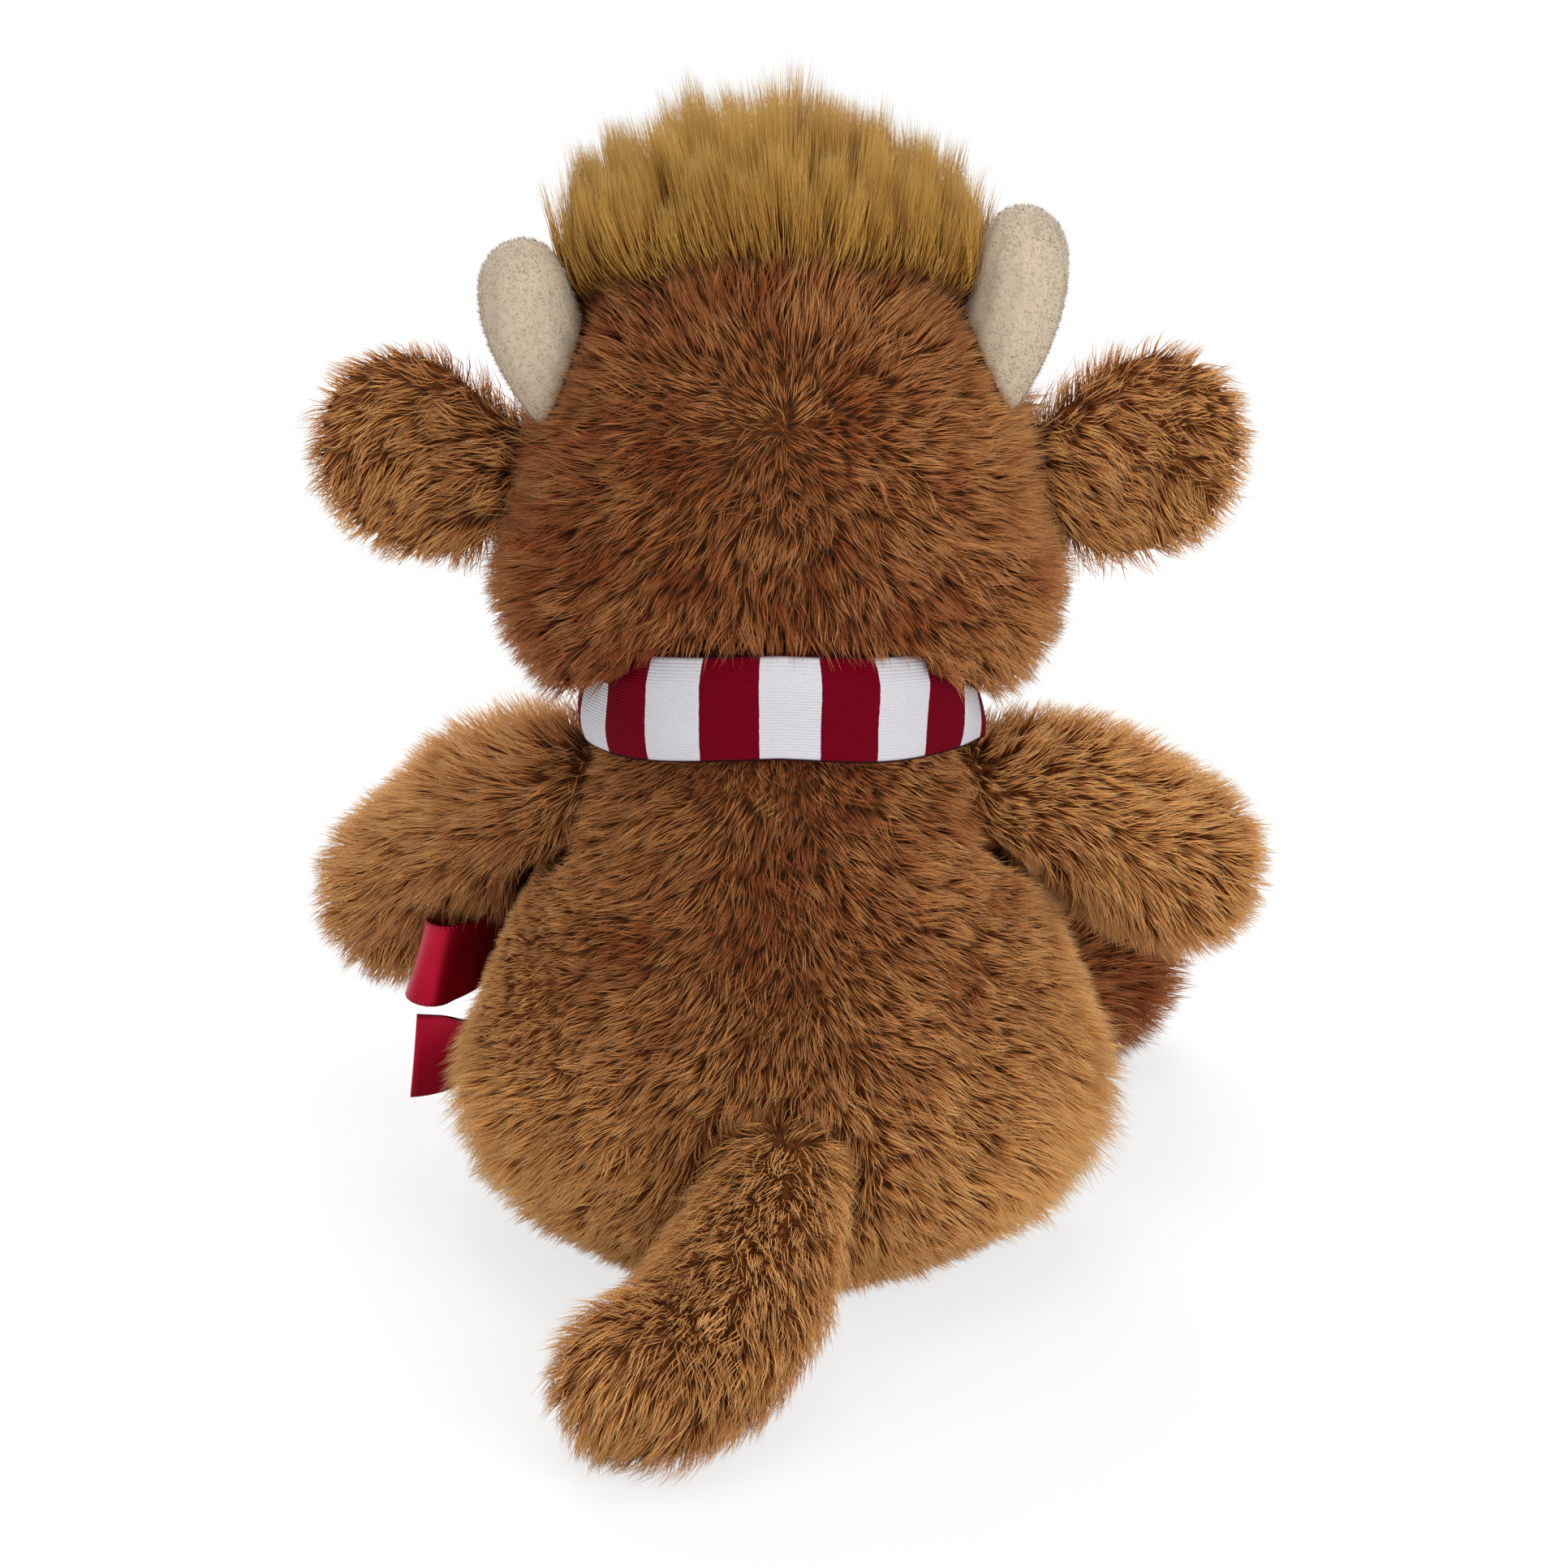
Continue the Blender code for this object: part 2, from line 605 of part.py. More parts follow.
def make_ear(side, head, head_blank):
    """A flat rounded ear on a root that turns in a groove down the side of the head."""
    suffix = "left" if side > 0 else "right"
    height = HEAD_BASE + HEAD_HEIGHT * EAR_RISE_SHARE
    out_angle = 0.0 if side > 0 else math.pi
    top = HEAD.point(height + EAR_HINGE_HALF_LENGTH, out_angle)
    foot = HEAD.point(height - EAR_HINGE_HALF_LENGTH, out_angle)
    axis = (top - foot).normalized()
    pivot = (top + foot) / 2 - Vector((side * EAR_HINGE_RADIUS * 0.2, 0, 0))
    out = Vector((side, 0, 0))
    lift = Vector((0, 0, 1))
    back = Vector((0, 1, 0))
    rise = lift * EAR_TIP_LIFT
    outline_shares = smooth_rows(
        (
            (0.00, 0.52, 0.60, 0.00),
            (0.15, 0.70, 0.85, 0.00),
            (0.38, 0.96, 1.00, 0.35),
            (0.62, 0.95, 1.00, 0.55),
            (0.84, 0.72, 0.88, 0.25),
            (0.955, 0.40, 0.60, 0.00),
        ),
        3,
    )

    def build_from(length, half_height, half_thickness, shift):
        def build(work):
            rings = [
                ring(
                    pivot + (out * length + rise) * share - back * (EAR_CUP * cup + shift),
                    back,
                    lift,
                    half_thickness * thick,
                    half_height * tall,
                    2.2,
                    LIMB_SIDES,
                )
                for share, tall, thick, cup in outline_shares
            ]
            tip = pivot + out * length + rise - back * shift
            skin_rings(work, rings, pivot - back * shift, tip)

        return build

    ear = node(
        f"ear_{suffix}",
        build_from(EAR_LENGTH, EAR_HALF_HEIGHT, EAR_HALF_THICKNESS, 0),
        BROWN_PILE,
        pivot,
    )
    limits = (-EAR_RANGE, EAR_RANGE)
    cut(ear, *swept_blanks(f"head_near_ear_{suffix}", head_blank, pivot, axis, limits))
    horn_room = room_for(f"horn_{suffix}")
    cut(ear, *swept_blanks(f"horn_near_ear_{suffix}", horn_room, pivot, axis, limits))

    def hinge_build(radius, half_length):
        spans = [(radius * 0.5, -half_length), (radius, radius - half_length)]
        spans += [(radius, half_length - radius), (radius * 0.5, half_length)]
        return turned_build(spans, pivot, axis, back)

    root = node(f"ear_root_{suffix}", hinge_build(EAR_HINGE_RADIUS, EAR_HINGE_HALF_LENGTH), None)
    boolean(ear, as_cutter(root), "UNION")
    groove = hinge_build(EAR_HINGE_RADIUS + CLEARANCE, EAR_HINGE_HALF_LENGTH + CLEARANCE)
    cut(head, as_cutter(node(f"ear_groove_{suffix}", groove, None)))

    shift = EAR_HALF_THICKNESS * 0.45
    lining = node(
        f"ear_lining_{suffix}",
        build_lining(pivot, out, back, lift, outline_shares, shift),
        CREAM_MINKY,
        pivot,
    )
    grown = build_from(
        EAR_LENGTH + CLEARANCE, EAR_HALF_HEIGHT + CLEARANCE, EAR_HALF_THICKNESS + CLEARANCE, 0
    )
    cut(lining, as_cutter(node(f"ear_blank_{suffix}", grown, None)))


def build_lining(pivot, out, back, lift, outline_shares, shift):
    """A lens inside the ear's outline, proud of its front face by the lining's thickness."""
    rows = outline_shares[4:-1]
    reach = out * EAR_LENGTH + lift * EAR_TIP_LIFT
    start, end = rows[0][0], rows[-1][0]

    def build(work):
        rings = []
        for share, tall, thick, cup in rows:
            inward = math.sin(math.pi * (share - start + 0.03) / (end - start + 0.06))
            front = EAR_HALF_THICKNESS * thick - shift + LINING_THICKNESS * inward
            rings.append(
                ring(
                    pivot + reach * share - back * (EAR_CUP * cup + shift),
                    back,
                    lift,
                    front,
                    EAR_HALF_HEIGHT * tall * 0.72 * inward**0.35,
                    2.0,
                    SMALL_SIDES,
                )
            )
        first, last = (
            pivot + reach * row[0] - back * (EAR_CUP * row[3] + shift)
            for row in (rows[0], rows[-1])
        )
        skin_rings(work, rings, first, last)

    return build


def make_limb(name, spine, side, radii, root_radius, pivot, blanks, torso, blunt=2.0):
    """A stuffed limb that is cut by the body through its range and turns on a ball-shaped root."""
    limb = node(name, limb_build(spine, side, radii, blunt=blunt), BROWN_PILE, pivot)
    cut(limb, *blanks)
    boolean(limb, ball(f"{name}_root", pivot, root_radius), "UNION")
    facet_share = math.cos(math.pi / BALL_SIDES) ** 2
    cut(torso, ball(f"{name}_socket", pivot, (root_radius + CLEARANCE) / facet_share))
    return limb


def make_arm(side, reach, limits, torso, torso_blank):
    suffix = "left" if side > 0 else "right"
    angle = -SHOULDER_ANGLE if side > 0 else math.pi + SHOULDER_ANGLE
    surface = TORSO.point(TORSO_HEIGHT * SHOULDER_HEIGHT_SHARE, angle)
    pivot = surface - Vector((side * ARM_ROOT_RADIUS * 0.3, 0, 0))
    hand = surface + reach
    past = reach.normalized() * HAND_RADIUS
    spine = [
        pivot - Vector((side * ARM_ROOT_RADIUS * 0.6, 0, 0)),
        pivot,
        surface + reach * 0.42 + Vector((0, 0, ARM_ARCH)),
        hand,
        hand + past,
    ]
    radii = [
        (ARM_ROOT_RADIUS * 0.9, ARM_ROOT_RADIUS * 0.9),
        (ARM_ROOT_RADIUS, ARM_ROOT_RADIUS),
        (ARM_RADIUS, ARM_RADIUS),
        (HAND_RADIUS, HAND_RADIUS),
        (HAND_RADIUS, HAND_RADIUS),
    ]
    axis = Vector((0, -side, 0))
    blanks = swept_blanks(f"torso_near_arm_{suffix}", torso_blank, pivot, axis, limits)
    make_limb(
        f"arm_{suffix}", spine, Vector((0, 1, 0)), radii, ARM_ROOT_RADIUS, pivot, blanks, torso
    )


def make_leg(side, splay, limits, torso, torso_blank):
    """A thigh that swells into a blunt foot with a sole, flat where it rests on the floor."""
    suffix = "left" if side > 0 else "right"
    height = LEG_ROOT_RADIUS + CLEARANCE
    surface = TORSO.point(height, -HIP_ANGLE if side > 0 else math.pi + HIP_ANGLE)
    ahead = Vector((side * math.sin(splay), -math.cos(splay), 0))
    pivot = surface - ahead * LEG_ROOT_RADIUS * 0.3
    lift = Vector((0, 0, 1))
    end = surface + ahead * LEG_LENGTH + lift * (FOOT_HALF_HEIGHT - height - SEAT_FLAT_DEPTH)
    swell = surface + ahead * LEG_LENGTH * LEG_SWELL_SHARE
    swell.z = LEG_RADIUS - SEAT_FLAT_DEPTH
    foot = end - ahead * FOOT_RADIUS
    foot.z = FOOT_RADIUS - SEAT_FLAT_DEPTH
    spine = [pivot - ahead * LEG_ROOT_RADIUS * 0.6, pivot, swell, foot, end]
    radii = [
        (LEG_ROOT_RADIUS * 0.9, LEG_ROOT_RADIUS * 0.9),
        (LEG_ROOT_RADIUS, LEG_ROOT_RADIUS),
        (LEG_RADIUS, LEG_RADIUS),
        (FOOT_RADIUS, FOOT_RADIUS),
        (FOOT_RADIUS, FOOT_HALF_HEIGHT),
    ]
    axis = Vector((-1, 0, 0))
    blanks = swept_blanks(f"torso_near_leg_{suffix}", torso_blank, pivot, axis, limits)
    across = ahead.cross(lift)
    leg = make_limb(
        f"leg_{suffix}", spine, across, radii, LEG_ROOT_RADIUS, pivot, blanks, torso, blunt=2.6
    )
    cut(leg, bpy.data.objects["below_floor"])
    half_across = FOOT_RADIUS - SOLE_INSET
    half_tall = FOOT_HALF_HEIGHT - SOLE_INSET

    def seat_build(grow):
        centre = end - ahead * SOLE_THICKNESS
        rings = [
            ring(
                centre + ahead * run,
                across,
                lift,
                half_across + grow,
                half_tall + grow,
                2.2,
                LIMB_SIDES,
            )
            for run in (0, OVERRUN)
        ]

        def build(work):
            skin_rings(work, rings, centre, centre + ahead * OVERRUN)

        return build

    cut(leg, as_cutter(node(f"sole_seat_{suffix}", seat_build(CLEARANCE), None)))
    sole_centre = end - ahead * (SOLE_THICKNESS - CLEARANCE)
    crown_shares = [(1.0, 0.0), (1.0, 0.35), (0.86, 0.75), (0.55, 0.97)]
    rings = [
        ring(
            sole_centre + ahead * SOLE_THICKNESS * rise,
            across,
            lift,
            half_across * share,
            half_tall * share,
            2.2,
            LIMB_SIDES,
        )
        for share, rise in crown_shares
    ]
    node(
        f"sole_{suffix}",
        lambda work: skin_rings(work, rings, sole_centre, sole_centre + ahead * SOLE_THICKNESS),
        CREAM_MINKY,
        pivot,
    )


def make_tail(torso, torso_blank):
    """A fat stuffed tail that lies on the floor behind the seat and curls to the left."""
    surface = TORSO.point(TORSO_HEIGHT * TAIL_HEIGHT_SHARE, math.radians(90))
    pivot = surface - Vector((0, TAIL_ROOT_RADIUS * 0.25, 0))
    rest = TAIL_RADIUS - SEAT_FLAT_DEPTH
    tip = Vector((TAIL_SIDE, surface.y + TAIL_BACK, rest))
    ahead = Vector((TAIL_SIDE, TAIL_BACK, 0)).normalized()
    middle = Vector((TAIL_SIDE * 0.22, surface.y + TAIL_BACK * 0.40, rest * 1.45))
    late = Vector((TAIL_SIDE * 0.60, surface.y + TAIL_BACK * 0.74, rest * 1.04))
    end = tip + ahead * TAIL_RADIUS * 0.6
    spine = [pivot - Vector((0, TAIL_ROOT_RADIUS * 0.7, 0)), pivot, middle, late, tip, end]
    radii = [(TAIL_ROOT_RADIUS * 0.9,) * 2, (TAIL_ROOT_RADIUS,) * 2]
    radii += [(TAIL_RADIUS * 0.97,) * 2, (TAIL_RADIUS,) * 2, (TAIL_RADIUS,) * 2]
    radii += [(TAIL_RADIUS,) * 2]
    axis = Vector((0, 0, 1))
    limits = (-TAIL_RANGE, TAIL_RANGE)
    blanks = swept_blanks("torso_near_tail", torso_blank, pivot, axis, limits)
    side = Vector((1, 0, 0))
    tail = make_limb("tail", spine, side, radii, TAIL_ROOT_RADIUS, pivot, blanks, torso)
    cut(tail, bpy.data.objects["below_floor"])


def band_build(inner, outer, low, high):
    """A builder of a closed band round the neck; each size is a function of the angle."""

    def build(work):
        turns = np.arange(2 * SIDES) * math.pi / SIDES
        corners = []
        for turn in turns:
            way = Vector((math.cos(turn), math.sin(turn), 0))
            middle = (low(turn) + high(turn)) / 2
            swell = SCARF_THICKNESS * 0.35
            section = (
                way * inner(turn) + Vector((0, 0, low(turn))),
                way * (outer(turn) - swell) + Vector((0, 0, low(turn))),
                way * outer(turn) + Vector((0, 0, middle * 0.55 + low(turn) * 0.45)),
                way * outer(turn) + Vector((0, 0, middle * 0.55 + high(turn) * 0.45)),
                way * (outer(turn) - swell) + Vector((0, 0, high(turn))),
                way * inner(turn) + Vector((0, 0, high(turn))),
            )
            corners.append([work.verts.new(point) for point in section])
        for i, here in enumerate(corners):
            there = corners[(i + 1) % len(corners)]
            for j in range(len(here)):
                k = (j + 1) % len(here)
                work.faces.new((here[j], there[j], there[k], here[k]))

    return build


def scarf_low(turn):
    """The band's lower edge: high at the back, dipping to the chest."""
    dip = ((1 - math.sin(turn)) / 2) ** SCARF_DIP_POWER
    return TORSO_HEIGHT * SCARF_TOP_SHARE - SCARF_BACK_RISE - SCARF_FRONT_DROP * dip


def scarf_high(turn):
    dip = (1 - math.sin(turn)) / 2
    return scarf_low(turn) + SCARF_WIDTH - SCARF_FOLD * dip


def scarf_outer(turn):
    """The band's outer face, with two soft folds round it."""
    return SCARF_RADIUS + SCARF_FOLD / 2 * math.sin(3 * turn)


def make_scarf(torso_blank):
    def inner(turn):
        return scarf_outer(turn) - SCARF_THICKNESS

    band = node("scarf_band", band_build(inner, scarf_outer, scarf_low, scarf_high), STRIPED_VELOUR)
    cut(band, torso_blank)

    def grown_inner(turn):
        return NECK_RADIUS / 2

    def grown_outer(turn):
        return scarf_outer(turn) + CLEARANCE

    def grown_low(turn):
        return scarf_low(turn) - CLEARANCE

    def grown_high(turn):
        return scarf_high(turn) + CLEARANCE

    grown = band_build(grown_inner, grown_outer, grown_low, grown_high)
    band_blank = as_cutter(node("scarf_band_blank", grown, None))
    front = math.radians(-90)
    knot_height = scarf_low(front) + SCARF_KNOT_HALF_HEIGHT * 0.35
    centre = Vector((0, -scarf_outer(front) - SCARF_KNOT_HALF_DEPTH * 0.55, knot_height))
    axes = (Vector((1, 0, 0)), Vector((0, 1, 0)), Vector((0, 0, 1)))
    halves = (SCARF_KNOT_HALF_WIDTH, SCARF_KNOT_HALF_DEPTH, SCARF_KNOT_HALF_HEIGHT)
    knot = node("scarf_knot", dome_build(centre, axes, halves), STRIPED_VELOUR)
    cut(knot, band_blank, torso_blank)
    grown_halves = [half + CLEARANCE for half in halves]
    knot_blank = as_cutter(node("scarf_knot_blank", dome_build(centre, axes, grown_halves), None))
    top = (centre.z - SCARF_KNOT_HALF_HEIGHT * 0.3) / TORSO_HEIGHT
    route_shares = {
        "scarf_end_left": ((-80, top, 0.45), (-76, 0.600, 0.80), (-72, 0.500, 1.0)),
        "scarf_end_right": (
            (-101, top, 0.45),
            (-108, 0.595, 0.80),
            (-124, 0.485, 0.95),
            (-148, 0.400, 1.0),
        ),
    }
    for name, route in route_shares.items():
        make_scarf_end(name, route, torso_blank, knot_blank, band_blank)


def make_scarf_end(name, route, torso_blank, knot_blank, band_blank):
    """A strip of the scarf that lies on the chest, with a soft fold down its length."""
    path = smooth_rows(route, 5)
    across_steps = 8

    def build(work):
        inner, outer = [], []
        for i, (degrees, share, narrow) in enumerate(path):
            turn = math.radians(degrees)
            height = TORSO_HEIGHT * share
            here = TORSO.point(height, turn)
            before, after = path[max(0, i - 1)], path[min(len(path) - 1, i + 1)]
            ahead = (
                TORSO.point(TORSO_HEIGHT * after[1], math.radians(after[0]))
                - TORSO.point(TORSO_HEIGHT * before[1], math.radians(before[0]))
            ).normalized()
            out = Vector((here.x, here.y, 0)).normalized()
            across = ahead.cross(out).normalized()
            rows = [], []
            for j in range(across_steps + 1):
                u = 2 * j / across_steps - 1
                beside = here + across * u * narrow * SCARF_END_WIDTH / 2
                angle = math.atan2(
                    (beside.y + BELLY_FORWARD) / TORSO_HALF_DEPTH, beside.x / TORSO_HALF_WIDTH
                )
                fold = SCARF_END_THICKNESS * (0.75 + 0.25 * math.cos(2 * math.pi * u))
                rows[0].append(TORSO.point(beside.z, angle, -SCARF_END_THICKNESS))
                rows[1].append(TORSO.point(beside.z, angle, CLEARANCE + fold))
            inner.append([work.verts.new(point) for point in rows[0]])
            outer.append([work.verts.new(point) for point in rows[1]])
        loops = [low + high[::-1] for low, high in zip(inner, outer)]
        for here, there in zip(loops, loops[1:]):
            for j in range(len(here)):
                k = (j + 1) % len(here)
                work.faces.new((here[j], here[k], there[k], there[j]))
        for low, high in ((inner[0], outer[0]), (inner[-1], outer[-1])):
            for j in range(across_steps):
                work.faces.new((low[j], low[j + 1], high[j + 1], high[j]))

    end = node(name, build, STRIPED_VELOUR)
    cut(end, torso_blank, knot_blank, band_blank)


def ribbon_build(path, half_widths, lifts=None):
    """A builder of a ribbon: a thin strip along a path, its width upright or as lifts say."""
    up = Vector((0, 0, 1))

    def build(work):
        sections = []
        for i, (place, half) in enumerate(zip(path, half_widths)):
            ahead = (path[min(i + 1, len(path) - 1)] - path[max(i - 1, 0)]).normalized()
            lift = lifts[i] if lifts else (up - ahead * up.dot(ahead)).normalized()
            out = ahead.cross(lift).normalized() * RIBBON_THICKNESS / 2
            section = [place + lift * half + out, place - lift * half + out]
            section += [place - lift * half - out, place + lift * half - out]
            sections.append([work.verts.new(point) for point in section])
        for here, there in zip(sections, sections[1:]):
            for j in range(4):
                k = (j + 1) % 4
                work.faces.new((here[j], here[k], there[k], there[j]))
        for section in (sections[0], sections[-1]):
            work.faces.new(section)

    return build


def loop_path(knot, end, half_opening, gap):
    """A bow loop seen from above: two sides that part from the knot, and a round end."""
    ahead = end - knot
    level = Vector((ahead.x, ahead.y, 0)).normalized()
    side = Vector((-level.y, level.x, 0))
    length = ahead.length - half_opening
    way = ahead.normalized()
    shares = np.linspace(0, 1, 9)
    sides = []
    for share in shares:
        spread = gap + (half_opening - gap) * math.sin(share * math.pi / 2)
        sides.append((knot + way * length * share, spread))
    path = [place + side * spread for place, spread in sides]
    for turn in np.linspace(0, math.pi, 8)[1:-1]:
        around = side * math.cos(turn) + way * math.sin(turn)
        path.append(knot + way * length + around * half_opening)
    path += [place - side * spread for place, spread in reversed(sides)]
    return path


def make_bow(torso_blank):
    surface = TORSO.point(TORSO_HEIGHT * BOW_HEIGHT_SHARE, -BOW_ANGLE)
    out = Vector((surface.x, surface.y * TORSO_HALF_WIDTH / TORSO_HALF_DEPTH, 0)).normalized()
    along = Vector((-out.y, out.x, 0))
    up = Vector((0, 0, 1))
    centre = surface + out * BOW_STAND_OFF
    halves = (BOW_KNOT_HALF_WIDTH, BOW_KNOT_HALF_DEPTH, BOW_KNOT_HALF_HEIGHT)
    axes = (along, out, up)
    knot = node("bow_knot", dome_build(centre, axes, halves), CRIMSON_SATIN)
    arm_room = room_for("arm_left")
    cut(knot, torso_blank, arm_room)
    grown = [half + CLEARANCE for half in halves]
    knot_blank = as_cutter(node("bow_knot_blank", dome_build(centre, axes, grown), None))
    gap = RIBBON_THICKNESS / 2 + CLEARANCE
    half = RIBBON_WIDTH / 2
    gather = BOW_KNOT_HALF_HEIGHT * 0.8
    for name, reach in (("bow_loop_left", BOW_LEFT_REACH), ("bow_loop_right", BOW_RIGHT_REACH)):
        start = centre + reach.normalized() * BOW_KNOT_HALF_WIDTH * 0.6
        path = loop_path(start, centre + reach, BOW_LOOP_HALF_OPENING, gap)
        length = (centre + reach - start).length
        widths = []
        for place in path:
            share = min(1, (place - start).length / (length * 0.45))
            widths.append(gather + (half - gather) * math.sin(share * math.pi / 2))
        loop = node(name, ribbon_build(path, widths), CRIMSON_SATIN)
        cut(loop, knot_blank, torso_blank, arm_room)
    apart = along * BOW_KNOT_HALF_WIDTH * 0.5
    tails = (
        ("bow_tail_left", apart - out * 2 * RIBBON_THICKNESS, BOW_TAIL_CORNER, BOW_TAIL_REACH),
        ("bow_tail_right", out * 2 * RIBBON_THICKNESS - apart, BOW_HANGING_CORNER, BOW_HANGING_REACH),
    )
    for name, shift, corner, reach in tails:
        ends = centre + corner, centre + reach
        make_bow_tail(name, centre + shift, out, ends, torso_blank, knot_blank)


def make_bow_tail(name, centre, out, ends, torso_blank, knot_blank):
    """A ribbon end that leaves the knot's lower side and bends to its straight cut edge."""
    corner, end = ends
    start = centre - Vector((0, 0, BOW_KNOT_HALF_HEIGHT * 0.85)) + out * RIBBON_THICKNESS
    shares = np.linspace(0, 1, 14)
    path = [
        start * (1 - share) ** 2 + corner * 2 * share * (1 - share) + end * share**2
        for share in shares
    ]
    half = RIBBON_WIDTH / 2
    narrow = BOW_KNOT_HALF_WIDTH * 0.4
    lifts, widths = [], []
    for share in shares:
        ahead = (corner - start).lerp(end - corner, share).normalized()
        lifts.append(ahead.cross(out).normalized())
        widths.append(narrow + (half - narrow) * math.sin(min(1, share / 0.85) * math.pi / 2))
    tail = node(name, ribbon_build(path, widths, lifts), CRIMSON_SATIN)
    cut(tail, knot_blank, torso_blank)


def main():
    clear_scene()
    floor_cutter()
    torso = make_torso()
    torso_blank = blank("torso_blank", TORSO, CLEARANCE)
    head = make_head()
    head_blank = blank("head_blank", HEAD, CLEARANCE)
    make_muzzle(head_blank)
    make_horn(1, HORN_LEFT_BASE_X, HORN_LEFT_LENGTH, head_blank)
    make_horn(-1, HORN_RIGHT_BASE_X, HORN_RIGHT_LENGTH, head_blank)
    for side in (1, -1):
        make_eye(side, head)
        make_ear(side, head, head_blank)
    make_tuft(head_blank)
    make_arm(1, LEFT_REACH, LEFT_ARM_RANGE, torso, torso_blank)
    make_arm(-1, RIGHT_REACH, RIGHT_ARM_RANGE, torso, torso_blank)
    make_leg(1, LEFT_LEG_SPLAY, LEFT_LEG_RANGE, torso, torso_blank)
    make_leg(-1, RIGHT_LEG_SPLAY, RIGHT_LEG_RANGE, torso, torso_blank)
    make_tail(torso, torso_blank)
    make_scarf(torso_blank)
    make_bow(torso_blank)


main()
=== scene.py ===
"""A sitting plush cow: long brown pile, ochre hair, cream horns, scarf and satin bow."""

import math

import bmesh
import bpy
import numpy as np
from mathutils import Matrix, Vector
from mathutils.bvhtree import BVHTree
from mathutils.kdtree import KDTree


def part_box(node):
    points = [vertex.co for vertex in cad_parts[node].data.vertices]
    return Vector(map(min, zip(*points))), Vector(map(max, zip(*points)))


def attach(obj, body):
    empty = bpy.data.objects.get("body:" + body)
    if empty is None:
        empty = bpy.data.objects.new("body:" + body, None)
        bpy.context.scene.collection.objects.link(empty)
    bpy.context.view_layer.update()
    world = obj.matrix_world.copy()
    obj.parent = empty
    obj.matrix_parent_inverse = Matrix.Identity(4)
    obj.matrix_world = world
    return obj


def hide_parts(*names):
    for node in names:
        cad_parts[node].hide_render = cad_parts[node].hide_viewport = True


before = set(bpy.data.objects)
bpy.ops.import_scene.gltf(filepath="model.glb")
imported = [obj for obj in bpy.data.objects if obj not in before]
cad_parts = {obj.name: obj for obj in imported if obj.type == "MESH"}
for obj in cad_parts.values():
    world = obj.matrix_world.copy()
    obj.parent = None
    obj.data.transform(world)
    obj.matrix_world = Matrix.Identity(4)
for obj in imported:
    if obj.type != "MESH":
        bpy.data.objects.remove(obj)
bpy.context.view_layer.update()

# Camera. The toy is photographed from behind and a little above, with a long lens,
# and fills most of a square picture.
AIM = Vector((-0.001, 0.0, 0.109))
VIEW_HEIGHT = math.radians(25)
VIEW_DISTANCE = 2.5
SEEN_WIDTH = 0.336
SENSOR_MM = 36.0


def new_object(name, data):
    """A new object of the scene, with this data."""
    obj = bpy.data.objects.new(name, data)
    bpy.context.scene.collection.objects.link(obj)
    return obj


camera = bpy.data.cameras.new("studio_camera")
camera.sensor_width = SENSOR_MM
camera.lens = SENSOR_MM * VIEW_DISTANCE / SEEN_WIDTH
camera_object = new_object("studio_camera", camera)
back_and_up = Vector((0, math.cos(VIEW_HEIGHT), math.sin(VIEW_HEIGHT)))
camera_object.location = AIM + back_and_up * VIEW_DISTANCE
camera_object.rotation_euler = back_and_up.to_track_quat("Z", "Y").to_euler()
bpy.context.scene.camera = camera_object
bpy.context.scene.view_settings.view_transform = "Standard"


def colour(red, green, blue):
    """A colour as a screen shows it, from 0 to 255, as the linear value that shaders take."""
    shares = (red / 255, green / 255, blue / 255)
    return (*(s / 12.92 if s <= 0.04045 else ((s + 0.055) / 1.055) ** 2.4 for s in shares), 1.0)


class Wire:
    """One output of a shader node; arithmetic on it adds Math nodes."""

    def __init__(self, finish, socket):
        self.finish, self.socket = finish, socket

    def math(self, operation, first, second=0.0):
        return self.finish.add("ShaderNodeMath", {"operation": operation}, {0: first, 1: second})

    def __add__(self, other):
        return self.math("ADD", self, other)

    def __sub__(self, other):
        return self.math("SUBTRACT", self, other)

    def __mul__(self, other):
        return self.math("MULTIPLY", self, other)

    def sine(self):
        return self.math("SINE", self)

    def output(self, name):
        """Another output of the same node."""
        return Wire(self.finish, self.socket.node.outputs[name])


EDGE_BLUR = 0.02


